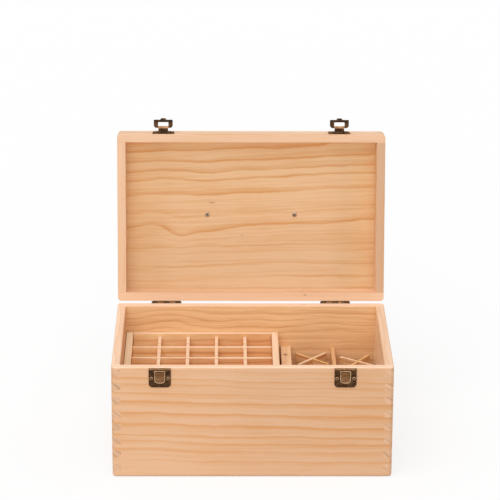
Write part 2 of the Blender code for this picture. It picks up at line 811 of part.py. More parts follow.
def build_handle(panel):
    """The bow handle, its bored feet and the two screws that hold it."""
    base = LID_TOP + SEAT_GAP
    bm = bmesh.new()
    path = handle_path()
    rings = []
    for index, (along, up) in enumerate(path):
        before = path[max(index - 1, 0)]
        after = path[min(index + 1, len(path) - 1)]
        tangent = Vector((after[0] - before[0], 0, after[1] - before[1])).normalized()
        if index in (0, len(path) - 1):
            tangent = Vector((0, 0, 1 if index == 0 else -1))
        normal = Vector((0, 1, 0)).cross(tangent)
        ring = []
        for side in range(HANDLE_SIDES):
            angle = 2 * math.pi * side / HANDLE_SIDES
            offset = normal * math.cos(angle) + Vector((0, 1, 0)) * math.sin(angle)
            center = Vector((along, 0, base + up))
            ring.append(bm.verts.new(center + offset * HANDLE_ROD_RADIUS))
        rings.append(ring)
    for lower, upper in zip(rings, rings[1:]):
        for side in range(HANDLE_SIDES):
            after = (side + 1) % HANDLE_SIDES
            bm.faces.new((lower[side], lower[after], upper[after], upper[side]))
    bm.faces.new(rings[0])
    bm.faces.new(rings[-1])
    handle = object_from(bm, "handle", "bronze", smooth=True)
    feet = [(end * HANDLE_SPACING / 2, 0, base) for end in (-1, 1)]
    for foot in feet:
        pad = rods("foot", HANDLE_FOOT_RADIUS, HANDLE_FOOT_HEIGHT, SCREW_SIDES, [foot], (0, 0, 1))
        fuse(handle, pad)
    inside = LID_FRAME_TOP
    length = base + HANDLE_SCREW_BITE - inside
    radius = HANDLE_SCREW_RADIUS + SEAT_GAP
    starts = [(foot[0], 0, inside - OVERRUN) for foot in feet]
    bored(handle, starts, (0, 0, 1), radius, length + OVERRUN + SEAT_GAP)
    bored(panel, starts, (0, 0, 1), radius, length + OVERRUN)
    profile = screw_profile(
        HANDLE_SCREW_HEAD_RADIUS, HANDLE_SCREW_HEAD_HEIGHT, HANDLE_SCREW_RADIUS, length
    )
    pieces = [handle]
    for tag, foot in zip(("left", "right"), feet):
        bm = bmesh.new()
        add_round(bm, profile, SCREW_SIDES, (foot[0], 0, inside), (0, 0, 1))
        pieces.append(object_from(bm, f"handle_screw_{tag}", "bronze", smooth=True))
    return pieces


def comb(low, high, base, top, slots, slot_width, open_top):
    """A divider's face: a strip with a half-depth slot at each crossing."""
    middle = (base + top) / 2
    half = slot_width / 2
    if open_top:
        floor = middle - SEAT_GAP / 2
        edge = [(high, top)]
        for slot in sorted(slots, reverse=True):
            edge += [(slot + half, top), (slot + half, floor), (slot - half, floor), (slot - half, top)]
        edge += [(low, top)]
        return [(low, base), (high, base)] + edge
    ceiling = middle + SEAT_GAP / 2
    edge = [(low, base)]
    for slot in sorted(slots):
        edge += [(slot - half, base), (slot - half, ceiling), (slot + half, ceiling), (slot + half, base)]
    edge += [(high, base)]
    return edge + [(high, top), (low, top)]


def slotted_divider(name, middle, across, plane, thickness, low, high, top, open_top):
    """A divider standing on the floor, slotted where the others pass through it.

    middle is where its thickness is centred, and across are the middles of
    the dividers that cross it.
    """
    outline = comb(low, high, STANDING, top, across, thickness + 2 * SEAT_GAP, open_top)
    return prism(
        name, outline, plane, middle - thickness / 2, middle + thickness / 2, "pine_inside"
    )


def cell_grid(name, columns, rows, span_x, span_y, base, top):
    """The dividers of a tray, glued where they cross into one crate.

    columns are the middles along X of those that run front to back, rows the
    middles along Y of those that run left to right.
    """
    half = DIVIDER / 2
    strips = []
    for column in columns:
        low = (column - half, span_y[0], base)
        high = (column + half, span_y[1], top)
        strips.append(block("strip", low, high, "pine_inside"))
    for row in rows:
        low = (span_x[0], row - half, base)
        high = (span_x[1], row + half, top)
        strips.append(block("strip", low, high, "pine_inside"))
    grid = strips.pop()
    for strip in strips:
        fuse(grid, strip)
    grid.name = name
    grid.data.name = name


def build_tray_frame(name, base, end_top, rail_top):
    """A tray's two end boards and two rails.

    Returns the middles of the dividers that run front to back and of those
    that run left to right, and the spans that they fill along X and Y.
    """
    inner_left = TRAY_LEFT + TRAY_END
    inner_right = TRAY_RIGHT - TRAY_END
    spans = (("left", TRAY_LEFT, inner_left), ("right", inner_right, TRAY_RIGHT))
    for tag, low, high in spans:
        block(f"{name}_end_{tag}", (low, TRAY_FRONT, base), (high, TRAY_BACK, end_top), "pine_inside")
    inner_front = TRAY_FRONT + TRAY_RAIL
    inner_back = TRAY_BACK - TRAY_RAIL
    span_x = (inner_left + SEAT_GAP, inner_right - SEAT_GAP)
    span_y = (inner_front + SEAT_GAP, inner_back - SEAT_GAP)
    spans = (("front", TRAY_FRONT, inner_front), ("back", inner_back, TRAY_BACK))
    for tag, low, high in spans:
        block(f"{name}_rail_{tag}", (span_x[0], low, base), (span_x[1], high, rail_top), "pine_inside")
    pitch = CELL + DIVIDER
    columns = [inner_left + CELL + DIVIDER / 2 + index * pitch for index in range(COLUMNS - 1)]
    rows = [inner_front + CELL + DIVIDER / 2 + index * pitch for index in range(ROWS - 1)]
    return columns, rows, span_x, span_y


def build_lower_tray():
    """The hidden tray on the box's floor, with half-lapped dividers."""
    columns, rows, span_x, span_y = build_tray_frame(
        "lower_tray", STANDING, UPPER_TRAY_UNDERSIDE - SEAT_GAP, STANDING + LOWER_RAIL_HEIGHT
    )
    top = STANDING + LOWER_DIVIDER_HEIGHT
    for index, row in enumerate(rows):
        slotted_divider(
            f"lower_tray_long_divider_{index + 1}", row, columns, "xz", DIVIDER,
            span_x[0], span_x[1], top, True,
        )
    for index, column in enumerate(columns):
        slotted_divider(
            f"lower_tray_cross_divider_{index + 1}", column, rows, "yz", DIVIDER,
            span_y[0], span_y[1], top, False,
        )


def build_upper_tray():
    """The tray that shows, with a thin floor under its grid."""
    top = UPPER_TRAY_UNDERSIDE + UPPER_TRAY_HEIGHT
    floor_top = UPPER_TRAY_UNDERSIDE + UPPER_TRAY_FLOOR
    columns, rows, span_x, span_y = build_tray_frame(
        "upper_tray", UPPER_TRAY_UNDERSIDE, top, top
    )
    grid_base = floor_top + SEAT_GAP
    grid_top = top - UPPER_DIVIDER_DROP
    cell_grid("upper_tray_grid", columns, rows, span_x, span_y, grid_base, grid_top)
    side = TRAY_END + SEAT_GAP
    end = TRAY_RAIL + SEAT_GAP
    block(
        "upper_tray_floor",
        (TRAY_LEFT + side, TRAY_FRONT + end, UPPER_TRAY_UNDERSIDE),
        (TRAY_RIGHT - side, TRAY_BACK - end, floor_top),
        "pine_inside",
    )


def build_tall_side():
    """The partition board and the grid of the right-hand compartment."""
    block(
        "partition_board",
        (PARTITION_LEFT, SEAT_GAP - INNER_Y, STANDING),
        (PARTITION_RIGHT, INNER_Y - SEAT_GAP, PARTITION_TOP),
        "pine_inside",
    )
    middle_x = (PARTITION_RIGHT + INNER_X) / 2
    half_pitch = (TALL_CELL_Y + TALL_DIVIDER) / 2
    rows = (-half_pitch, half_pitch)
    reach = INNER_Y - SEAT_GAP
    slotted_divider(
        "tall_long_divider", middle_x, rows, "yz", TALL_DIVIDER,
        -reach, reach, TALL_DIVIDER_TOP, True,
    )
    for tag, row in zip(("front", "back"), rows):
        slotted_divider(
            f"tall_cross_divider_{tag}", row, [middle_x], "xz", TALL_DIVIDER,
            PARTITION_RIGHT + SEAT_GAP, INNER_X - SEAT_GAP, TALL_DIVIDER_TOP, False,
        )


def build_crosses():
    """Six loose inserts, each of two plates halved and glued across each other."""
    half = CROSS_PLATE_LENGTH / 2
    side = CROSS_PLATE / 2
    for index, (column, row, turn, shift_x, shift_y) in enumerate(CROSS_PLACE_SHARES):
        middle_x = PARTITION_RIGHT + TALL_CELL_X / 2 + column * (TALL_CELL_X + TALL_DIVIDER)
        middle_y = TALL_CELL_Y / 2 - INNER_Y + row * (TALL_CELL_Y + TALL_DIVIDER)
        name = f"cross_insert_{index + 1}"
        insert = block(name, (-half, -side, STANDING), (half, side, CROSS_TOP), "pine_inside")
        fuse(insert, block("plate", (-side, -half, STANDING), (side, half, CROSS_TOP)))
        insert.location = (middle_x + shift_x * TALL_CELL_X, middle_y + shift_y * TALL_CELL_Y, 0)
        insert.rotation_euler = (0, 0, math.radians(45 + turn))


def main():
    """Build every piece and hang the moving ones on their axes."""
    clear_scene()
    shell = build_shell()
    lid = build_lid()
    lid_pivot = pivot("lid_pivot", HINGE_AXIS, -LID_OPEN_DEG)
    lid_items = []
    catch_seats = []
    for side in (-1, 1):
        lid_items.append(build_hinge(side, shell, lid))
        catch_seats += build_catch(side, shell)
        lid_items += build_lid_plate(side, lid)
        hasp_place = Vector((side * LATCH_X, HASP_AXIS_Y, HASP_AXIS_Z)) - HINGE_AXIS
        label = "left" if side < 0 else "right"
        hasp_pivot = pivot(f"hasp_pivot_{label}", hasp_place, -90, lid_pivot)
        build_hasp(side).parent = hasp_pivot
    wood_screws("catch_screw", catch_seats, (0, 1, 0), "brass")
    lid_items += build_handle(lid["panel"])
    for item in list(lid.values()) + lid_items:
        hang(item, lid_pivot, HINGE_AXIS)
    build_lower_tray()
    build_upper_tray()
    build_tall_side()
    build_crosses()


main()
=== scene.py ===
# %% [markdown]
# # A pine box for bottles of essential oil
#
# The finished object is a finger-jointed pine box with a framed lid. Inside are two layers of
# bottle cells and six tall cells with crossed inserts, and the latches and hinges are stamped
# sheet with an antique bronze finish. The solid model of the box comes in first as a fixed frame.
# Every piece made here is placed from it, so nothing needs fitting afterwards.

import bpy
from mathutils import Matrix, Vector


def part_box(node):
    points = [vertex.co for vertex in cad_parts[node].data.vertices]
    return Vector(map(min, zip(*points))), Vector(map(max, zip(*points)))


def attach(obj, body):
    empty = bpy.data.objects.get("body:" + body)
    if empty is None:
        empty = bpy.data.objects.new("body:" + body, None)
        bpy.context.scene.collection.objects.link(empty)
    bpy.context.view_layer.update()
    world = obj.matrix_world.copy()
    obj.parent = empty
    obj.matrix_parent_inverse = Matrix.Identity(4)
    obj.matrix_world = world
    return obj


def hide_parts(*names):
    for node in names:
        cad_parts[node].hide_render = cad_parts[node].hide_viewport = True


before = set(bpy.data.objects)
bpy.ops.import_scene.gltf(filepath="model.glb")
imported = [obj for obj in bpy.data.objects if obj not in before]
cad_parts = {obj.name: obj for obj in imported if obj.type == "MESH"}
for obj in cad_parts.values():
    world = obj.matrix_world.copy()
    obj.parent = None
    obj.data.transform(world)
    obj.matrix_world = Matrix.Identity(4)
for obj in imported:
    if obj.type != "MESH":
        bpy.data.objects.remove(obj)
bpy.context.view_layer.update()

# %% [markdown]
# The rest of the script needs Blender itself, numpy for the surfaces, and two units. The frame is
# in metres, and wood and hardware are easier to think about in millimetres.

# %% Imports and units
import math

import bmesh
import bpy
import numpy as np
from mathutils import Matrix, Vector
from mathutils.bvhtree import BVHTree

MM = 0.001
PER_MM = 1 / MM
RIGHT = Vector((1, 0, 0))
BACK = Vector((0, 1, 0))
UP = Vector((0, 0, 1))

# %% [markdown]
# ## Camera
#
# The picture was taken with a long lens from a little above, almost straight on. The lens, the
# place and the three turns were worked out from the corners of the box, so a corner of the model
# falls on the same pixel as the corner of the real box. The sensor is left at its normal width.

# %% Set up the camera
CAMERA_PLACE = Vector((-0.0349, -2.7318, 1.2298))
CAMERA_TURNS = (math.radians(-0.678), math.radians(-19.9), math.radians(-0.291))
CAMERA_LENS = 181.55

yaw, pitch, roll = CAMERA_TURNS
looking = Matrix.Rotation(yaw, 3, "Z") @ Matrix.Rotation(pitch, 3, "X") @ Matrix.Rotation(roll, 3, "Y")
looking = looking @ Matrix.Rotation(math.radians(90), 3, "X")
lens = bpy.data.cameras.new("camera")
lens.lens = CAMERA_LENS
camera = bpy.data.objects.new("camera", lens)
camera.matrix_world = Matrix.Translation(CAMERA_PLACE) @ looking.to_4x4()
bpy.context.scene.collection.objects.link(camera)
bpy.context.scene.camera = camera
bpy.context.scene.view_settings.view_transform = "Standard"
print("camera looks along", [round(v, 3) for v in -looking.col[2]])

# %% [markdown]
# ## Node helpers
#
# Each material is a small network of nodes, and a few helpers keep the cells below short. A signal
# is the output of a node. Sums of signals read like sums of numbers: each step adds a Math node, or
# a Vector Math node where the signal is a vector or a colour. A node that is fed with signals is
# put into their network. A node group is an effect that is built once and used by many materials.

# %% Helpers that build nodes
class Signal:
    """The output of a node, which can be added, taken away, multiplied and divided."""

    def __init__(self, socket):
        self.socket, self.tree = socket, socket.id_data

    def math(self, operation, *others):
        """One operation of a Math or Vector Math node on this signal and the others."""
        kind = "Math" if self.socket.type == "VALUE" else "VectorMath"
        return effect(kind, [self, *others], operation=operation)

    def dot(self, other):
        """The dot product of two vectors."""
        return effect("VectorMath", [self, other], "Value", operation="DOT_PRODUCT")

    def __add__(self, other):
        return self.math("ADD", other)

    def __sub__(self, other):
        return self.math("SUBTRACT", other)

    def __mul__(self, other):
        return self.math("MULTIPLY", other)

    def __truediv__(self, other):
        return self.math("DIVIDE", other)


def feed(node, values):
    """Sets a node's inputs, in order or by name or number. A signal is linked, a value is set."""
    for key, value in values.items() if isinstance(values, dict) else enumerate(values):
        if isinstance(value, Signal):
            node.id_data.links.new(value.socket, node.inputs[key])
        else:
            node.inputs[key].default_value = value


def add_node(tree, kind, values=(), **settings):
    """Adds one shader node, sets its properties from `settings` and feeds its inputs."""
    node = tree.nodes.new("ShaderNode" + kind)
    for key, value in settings.items():
        setattr(node, key, value)
    feed(node, values)
    return node


def tree_of(values):
    """The network that the first signal among the values belongs to."""
    listed = values.values() if isinstance(values, dict) else values
    return next(value.tree for value in listed if isinstance(value, Signal))


def effect(kind, values, output=0, **settings):
    """Adds a node to the network of its signals. Returns one of its outputs."""
    return Signal(add_node(tree_of(values), kind, values, **settings).outputs[output])


def split(signal):
    """The three numbers of a vector or a colour."""
    kind = "SeparateXYZ" if signal.socket.type == "VECTOR" else "SeparateColor"
    return [Signal(socket) for socket in add_node(signal.tree, kind, [signal]).outputs]


def blend_colors(share, first, second):
    """A colour Mix node: `share` of the way from the first colour to the second."""
    return effect("Mix", {0: share, 6: first, 7: second}, 2, data_type="RGBA")


def share_between(value, low, high, clamp=True):
    """How far a value has come on its way from `low`, which gives 0, to `high`, which gives 1."""
    return effect("MapRange", [value, low, high], clamp=clamp)


def stretched_noise(place, stretch, seed, detail, roughness):
    """Noise whose spots are drawn out: the place is multiplied by `stretch` before it is read."""
    values = {"Vector": place * stretch, "W": seed, "Scale": 1.0, "Detail": detail, "Roughness": roughness}
    return effect("TexNoise", values, noise_dimensions="4D")


def color_ramp(share, stops):
    """The colour at a share, blended between stops (place, colour) that are listed in order."""
    node = add_node(share.tree, "ValToRGB", [share])
    elements = node.color_ramp.elements
    for number, (place, colour) in enumerate(stops):
        place = min(max(place, 0), 1)
        element = elements[number] if number < 2 else elements.new(place)
        element.position = place
        element.color = colour
    return Signal(node.outputs[0])


def new_group(name, inputs, outputs):
    """An empty node group, from its inputs' default values and its outputs' types.

    Returns the group, its inputs as signals, and the node to which its results are fed.
    """
    group = bpy.data.node_groups.new(name, "ShaderNodeTree")
    for title, value in inputs.items():
        kind = "Float" if np.isscalar(value) else "Color" if len(value) == 4 else "Vector"
        socket = group.interface.new_socket(title, in_out="INPUT", socket_type="NodeSocket" + kind)
        socket.default_value = value
    for title, kind in outputs.items():
        group.interface.new_socket(title, in_out="OUTPUT", socket_type="NodeSocket" + kind)
    entry = group.nodes.new("NodeGroupInput")
    signals = {title: Signal(entry.outputs[title]) for title in inputs}
    return group, signals, group.nodes.new("NodeGroupOutput")


def place_group(group, values):
    """Puts a node group into the network of its signals. Returns its outputs by name."""
    outputs = add_node(tree_of(values), "Group", values, node_tree=group).outputs
    return {socket.name: Signal(socket) for socket in outputs}


def new_material(name):
    """A material with one Principled BSDF. Returns both."""
    material = bpy.data.materials.new(name)
    material.use_nodes = True
    return material, material.node_tree.nodes["Principled BSDF"]


# %% [markdown]
# ## Floor and light
#
# The box stands on a white sweep of paper, lit softly from above and a little from the left. The
# floor is drawn white for the camera and for reflections, with a share of its real shading mixed
# in, so it still keeps the soft shadow under the box. For all other light it is a pale grey paper,
# which throws less light up at the front of the box than white paper would.

# %% Lay the floor
FLOOR_REACH = 6.0
FLOOR_DROP = 0.0002
PAPER_ROUGHNESS = 0.9
PAPER_SHADING_SHARE = 0.25
PAPER_WHITE = (0.94, 0.94, 0.94, 1)
PAPER_GREY = (0.66, 0.66, 0.66, 1)
FULL_WHITE = (1, 1, 1, 1)


def seen_share(tree):
    """One for the camera, for reflections and for what shows through glass, otherwise zero."""
    path = add_node(tree, "LightPath").outputs
    direct, *others = (Signal(path[f"Is {kind} Ray"]) for kind in ("Camera", "Glossy", "Transmission"))
    for other in others:
        direct = direct.math("MAXIMUM", other)
    return direct


paper, shader = new_material("white_paper")
seen = seen_share(paper.node_tree)
feed(shader, {"Roughness": PAPER_ROUGHNESS, "Base Color": blend_colors(seen, PAPER_GREY, PAPER_WHITE)})
white = add_node(seen.tree, "Emission", [FULL_WHITE, 1.0])
mixed = [seen * (1 - PAPER_SHADING_SHARE), Signal(shader.outputs[0]), Signal(white.outputs[0])]
feed(seen.tree.nodes["Material Output"], {"Surface": effect("MixShader", mixed)})

corners = np.array([(-1, -1, 0), (1, -1, 0), (1, 1, 0), (-1, 1, 0)]) * FLOOR_REACH - (0, 0, FLOOR_DROP)
floor_mesh = bpy.data.meshes.new("floor")
floor_mesh.from_pydata(corners.tolist(), [], [(0, 1, 2, 3)])
floor = bpy.data.objects.new("floor", floor_mesh)
bpy.context.scene.collection.objects.link(floor)
floor.data.materials.append(paper)
print("floor:", 2 * FLOOR_REACH, "m square")

# %% [markdown]
# The light is an even white sky, one very wide soft lamp overhead, a little to the left and in
# front, and a weak one beside the camera that reaches into the lid and the cells. Their strengths
# are set so that a pale colour shows about as it is written: nothing on the wood is clipped, and
# the top edges come out a little lighter than the upright faces.

# %% Hang the lights
SKY_STRENGTH = 0.645
LAMPS = {
    "soft_key": (Vector((-0.22, -0.50, 0.84)), 1.27, math.radians(60)),
    "front_fill": (Vector((-0.04, -1.00, 0.36)), 0.50, math.radians(40)),
}

world = bpy.data.worlds.new("sky")
world.use_nodes = True
bpy.context.scene.world = world
world.node_tree.nodes.clear()
skies = [add_node(world.node_tree, "Background", [FULL_WHITE, power]) for power in (SKY_STRENGTH, 1.0)]
mixed = [seen_share(world.node_tree), *(Signal(sky.outputs[0]) for sky in skies)]
add_node(world.node_tree, "OutputWorld", {"Surface": effect("MixShader", mixed)})

for title, (origin, strength, spread) in LAMPS.items():
    lamp = bpy.data.lights.new(title, "SUN")
    lamp.energy = strength
    lamp.angle = spread
    holder = bpy.data.objects.new(title, lamp)
    holder.matrix_world = (-origin).to_track_quat("-Z", "Y").to_matrix().to_4x4()
    bpy.context.scene.collection.objects.link(holder)
print("lamps:", list(LAMPS))

# %% [markdown]
# ## Pine
#
# A board is cut from a trunk, so its pattern is three-dimensional: the growth lines that run along
# its face come out as arcs at its sawn ends. A picture wrapped round the board could not do that,
# so the pattern is worked out from the place of each point inside the board. The first group turns
# object coordinates into the board's own: millimetres along the grain, across it, and in depth.

# %% Board coordinates
board_axes, enter, leave = new_group(
    "board_axes",
    {"Point": (0, 0, 0), "Along": (1, 0, 0), "Across": (0, 0, 1), "Depth": (0, 1, 0), "Start": (0, 0, 0)},
    {"Board": "Vector"},
)
away = enter["Point"] - enter["Start"]
parts = [away.dot(enter[axis]) * PER_MM for axis in ("Along", "Across", "Depth")]
feed(leave, {"Board": effect("CombineXYZ", parts)})
print("group:", board_axes.name)

# %% [markdown]
# The second group says on which growth line a point lies, as a height across the board. A board
# whose trunk was straight would give the height itself. Here it also leans with the depth of the
# board and along its length, and a slow noise makes the lines sway, as they do in real pine.

# %% Growth line height
SLOW_WAVES = (0.0085, 0.016, 0.03)
QUICK_WAVES = (0.035, 0.09, 0.09)

growth_height, enter, leave = new_group(
    "growth_height",
    {"Board": (0, 0, 0), "Lean": 0.5, "Slope": 0.0, "Fan": 0.0, "Sway": 12.0, "Ripple": 3.0, "Seed": 0.0},
    {"Height": "Float"},
)
along, across, depth = split(enter["Board"])
slow = stretched_noise(enter["Board"], SLOW_WAVES, enter["Seed"], 1.0, 0.4) - 0.5
quick = stretched_noise(enter["Board"], QUICK_WAVES, enter["Seed"], 2.0, 0.5) - 0.5
straight = across + depth * enter["Lean"] + along * (across * enter["Fan"] + enter["Slope"])
feed(leave, {"Height": straight + slow * enter["Sway"] + quick * enter["Ripple"]})
print("group:", growth_height.name)

# %% [markdown]
# A knot just under the surface pushes the growth lines aside, which shows on the face as a dip or
# a peak. This group adds one such bump: strongest at its centre and dying away on both sides.

# %% Bump in the growth lines
growth_bump, enter, leave = new_group(
    "growth_bump",
    {"Board": (0, 0, 0), "Height": 0.0, "Centre": (0, 0, 0), "Reach": (20, 12, 1), "Push": 5.0},
    {"Height": "Float"},
)
x, y, _ = split((enter["Board"] - enter["Centre"]) / enter["Reach"])
fall = ((x * x + y * y) * -1.0).math("EXPONENT")
feed(leave, {"Height": fall * enter["Push"] + enter["Height"]})
print("group:", growth_bump.name)

# %% [markdown]
# The last wood group gives the colour. It mixes the pale early wood with the orange late wood by
# how dark the growth line is there, then adds thin layers that follow the growth lines, fine fibres
# drawn out along the grain, short resin flecks, slow changes of tone, and the duller look of wood
# that is cut across its fibres. A board's long narrow edge faces take an edge colour, partly paler
# edge grain and partly painted light on top edges, and painted shade can darken a board slowly
# along its length. Each layer of noise is drawn out by its own stretch, and its pull says how far
# it moves the wood from pale to late.

# %% Colour of planed pine
PALE = (0.785, 0.475, 0.28, 1)
LATE = (0.66, 0.30, 0.10, 1)
# The edge colour is partly paler edge grain and partly painted light on the top edges.
EDGE = (0.95, 0.67, 0.475, 1)
END_PALE = (0.74, 0.45, 0.28, 1)
END_LATE = (0.47, 0.25, 0.13, 1)
FIBRE_STRETCH, FIBRE_PULL = (0.035, 0.9, 0.9), 0.75
TONE_STRETCH, TONE_PULL = (0.012, 0.035, 0.035), 0.8
LAYER_STRETCH, LAYER_PULL, LAYER_MIDDLE = (0.006, 0.42, 0.02), 1.7, 0.46
FLECK_STRETCH, FLECK_RANGE, FLECK_SHARE = (0.22, 2.4, 2.4), (0.66, 0.76), 0.30
EDGE_LATE_SHARE = 0.4
END_LATE_SHARE = 0.8
PER_DECIMETRE = 0.01
FIBRE_GLOSS, WOOD_ROUGHNESS = 0.12, 0.50
LINE_RELIEF = 0.6

pine_surface, enter, leave = new_group(
    "pine_surface",
    {
        "Board": (0, 0, 0), "Height": 0.0, "Line": 0.0, "Shade": 0.0, "End": 0.0, "Rim": 0.0,
        "Pale": PALE, "Late": LATE, "Edge": EDGE, "Seed": 0.0,
    },
    {"Color": "Color", "Roughness": "Float", "Height": "Float"},
)
board, line, pale, orange, seed = (enter[key] for key in ("Board", "Line", "Pale", "Late", "Seed"))
run, _, inward = split(board)
fibre = stretched_noise(board, FIBRE_STRETCH, seed, 4.0, 0.65)
tone = stretched_noise(board, TONE_STRETCH, seed, 2.0, 0.5)
fleck = share_between(stretched_noise(board, FLECK_STRETCH, seed, 1.0, 0.5), *FLECK_RANGE)
layered = effect("CombineXYZ", [run, enter["Height"], inward])
layer = stretched_noise(layered, LAYER_STRETCH, seed, 3.0, 0.6)
late = line + (fibre - 0.5) * FIBRE_PULL + (layer - LAYER_MIDDLE) * LAYER_PULL + (tone - 0.5) * TONE_PULL
# Painted shade: the wood turns later along the run, so a board darkens slowly towards one end.
late = effect("Clamp", [late + run * PER_DECIMETRE * enter["Shade"]])
face = blend_colors(fleck * FLECK_SHARE, blend_colors(late, pale, orange), orange)
# The edge faces take the edge colour: partly paler edge grain, partly painted light on top edges.
edge_grain_and_painted_light = blend_colors(late * EDGE_LATE_SHARE, enter["Edge"], orange)
cut = blend_colors(late * END_LATE_SHARE, blend_colors(0.5, pale, END_PALE), END_LATE)
colour = blend_colors(enter["End"], blend_colors(enter["Rim"], face, edge_grain_and_painted_light), cut)
roughness = fibre * FIBRE_GLOSS + WOOD_ROUGHNESS
feed(leave, {"Color": colour, "Roughness": roughness, "Height": line * LINE_RELIEF + fibre})
print("group:", pine_surface.name)

# %% [markdown]
# Here and there a pin knot or a short dark dash shows in the wood. It is a small spot that fades
# out from its middle, drawn out along the grain, so a last group lays one spot over the colour.

# %% Pin knots
KNOT_BROWN = (0.30, 0.15, 0.07, 1)

pin_knot, enter, leave = new_group(
    "pin_knot",
    {"Board": (0, 0, 0), "Color": (1, 1, 1, 1), "Centre": (0, 0, 0), "Reach": (2, 1, 1), "Strength": 0.5},
    {"Color": "Color"},
)
away = (enter["Board"] - enter["Centre"]) / enter["Reach"]
spot = (away.dot(away) * -1.0).math("EXPONENT") * enter["Strength"]
feed(leave, {"Color": blend_colors(spot, enter["Color"], KNOT_BROWN)})
print("group:", pin_knot.name)

# %% [markdown]
# Which heights across a board carry a dark line is kept in a colour ramp. Each growth ring gets
# two stops. Between them the red channel climbs from 0 to 1 and says how near the line is, and the
# green channel holds how dark this ring is. Most boards take a chance sequence of rings, repeated
# across the width. The lid panel, the front and the back board show their rings large in the
# picture, so theirs are written down one by one.

# %% Ring sequences
RING_STEP = 1.5
FADE_POWER = 2.0
CORE_POWER = 6.0
CORE_SHARE = 0.66
LINE_DEPTH = 1.4


def chance_rings(seed, span, count=10):
    """Line heights and strengths from a seeded generator: `count` uneven steps that fill `span`."""
    chance = np.random.default_rng(seed)
    heights = np.cumsum(chance.uniform(0.6, 1.4, count))
    heights *= span / heights[-1]
    return [(float(h), float(s)) for h, s in zip(heights, chance.uniform(0.4, 1.0, count))]


def ring_ramp(share, rings, span, fade_up, fade_power):
    """Darkness of the growth line, from a ramp with two stops for each ring.

    With t the nearness to the line, the darkness is the ring's strength times the line depth times
    a sum of two powers of t: a low one for the slow fade of the late wood, a high one for the line.
    """
    strengths = [strength for _, strength in rings]
    ends = strengths[-1:] + strengths + strengths[:1]
    stops = [(0.0, 1.0, ends[0]) if fade_up else (0.0, 0.0, ends[1])]
    for number, (height, _) in enumerate(rings):
        here = (height / span, 1.0, ends[number + 1])
        if fade_up:
            stops += [((height - RING_STEP) / span, 0.0, ends[number]), here]
        else:
            stops += [here, ((height + RING_STEP) / span, 0.0, ends[number + 2])]
    nearness, strength, _ = split(color_ramp(share, [(at, (near, dark, 0, 1)) for at, near, dark in stops]))
    core = nearness.math("POWER", CORE_POWER) * CORE_SHARE
    both = nearness.math("POWER", fade_power) * (1 - CORE_SHARE) + core
    return both * strength * LINE_DEPTH


# %% [markdown]
# A function now puts the groups together into the material of one board. Every board gets its own
# material, with its own grain direction, rings and seed, because two boards from one stack never
# look the same. Light that comes off the other boards also gives each face its own cast, more than
# two lamps can. So a face can have levels, painted light and shade that change slowly along one
# direction of it. The same levels give the two plates of a crossed insert their own tones.

# %% Material of one board
FACING = 0.7
GRAIN_RELIEF = {"Strength": 0.12, "Distance": 0.0002}
WOOD_SHINE = 0.35


def light_and_tone_leveled(colour, board, normal, direction, facing, stops):
    """The colour times a level that is blended between the stops (millimetres, level).

    A level is one number, or one for each of red, green and blue. It counts only on faces that
    look along `facing`. The ramp holds halves, because it can't go past one.
    """
    first, last = stops[0][0], stops[-1][0]
    halves = [((at - first) / (last - first), (*(np.broadcast_to(level, 3) / 2), 1)) for at, level in stops]
    level = color_ramp((split(board)[direction] - first) / (last - first), halves) * (2, 2, 2)
    there = normal.dot(facing).math("GREATER_THAN", FACING)
    return blend_colors(there, colour, level * colour)


def pine(
    name, along, across, start, seed, rings=None, span=90.0, fade_up=True, fade=FADE_POWER, bumps=(),
    knots=(), light_and_tone_levels=(), crossed=False, **grain,
):
    """One board's material. `along` and `across` are its grain directions, `start` its origin.

    A crossed board is a grid of slats that run both ways, so a face that looks along the grain
    belongs to a slat of the other direction, whose grain is turned by a right angle. Each level
    is a direction (0 along, 1 across, 2 in depth), the side that it counts for, and a list of
    (millimetres, level) that multiplies the colour: painted light and shade on most boards, and
    the two tones of the plates on a crossed insert.
    """
    material, shader = new_material(name)
    place = add_node(material.node_tree, "TexCoord").outputs
    normal = Signal(place["Normal"])
    depth = along.cross(across)
    axes = {"Along": along, "Across": across, "Depth": depth, "Start": start}
    end, rim = (normal.dot(axis).math("ABSOLUTE").math("GREATER_THAN", FACING) for axis in (along, across))
    masks = {"Rim": rim}
    if crossed:
        for key, other in (("Along", depth), ("Depth", along)):
            axes[key] = effect("Mix", {0: end, 4: axes[key], 5: other}, 1, data_type="VECTOR")
    else:
        masks["End"] = end
    board = place_group(board_axes, {"Point": Signal(place["Object"]), **axes})["Board"]
    colours = {key: grain.pop(key) for key in ("Pale", "Late", "Edge", "Shade") if key in grain}
    height = layers = place_group(growth_height, {"Board": board, "Seed": seed, **grain})["Height"]
    for centre, reach, push in bumps:
        values = {"Board": board, "Height": height, "Push": push}
        values |= {"Centre": (*centre, 0), "Reach": (*reach, 1)}
        height = place_group(growth_bump, values)["Height"]
    share = share_between(height, 0, span, clamp=False)
    if rings is None:
        rings = chance_rings(int(seed * 10), span)
        share = share.math("FRACT")
    line = ring_ramp(share, rings, span, fade_up, fade)
    values = {"Board": board, "Height": layers, "Line": line, "Seed": seed, **masks, **colours}
    wood = place_group(pine_surface, values)
    colour = wood["Color"]
    for point, reach, strength in knots:
        away = (Vector(point) - start) * PER_MM
        centre = [away.dot(axis) for axis in (along, across, depth)]
        values = {"Board": board, "Color": colour, "Centre": centre, "Reach": reach, "Strength": strength}
        colour = place_group(pin_knot, values)["Color"]
    for level in light_and_tone_levels:
        colour = light_and_tone_leveled(colour, board, normal, *level)
    relief = effect("Bump", {"Height": wood["Height"], **GRAIN_RELIEF})
    feed(shader, {"Base Color": colour, "Roughness": wood["Roughness"], "Normal": relief})
    feed(shader, {"Specular IOR Level": WOOD_SHINE})
    return material


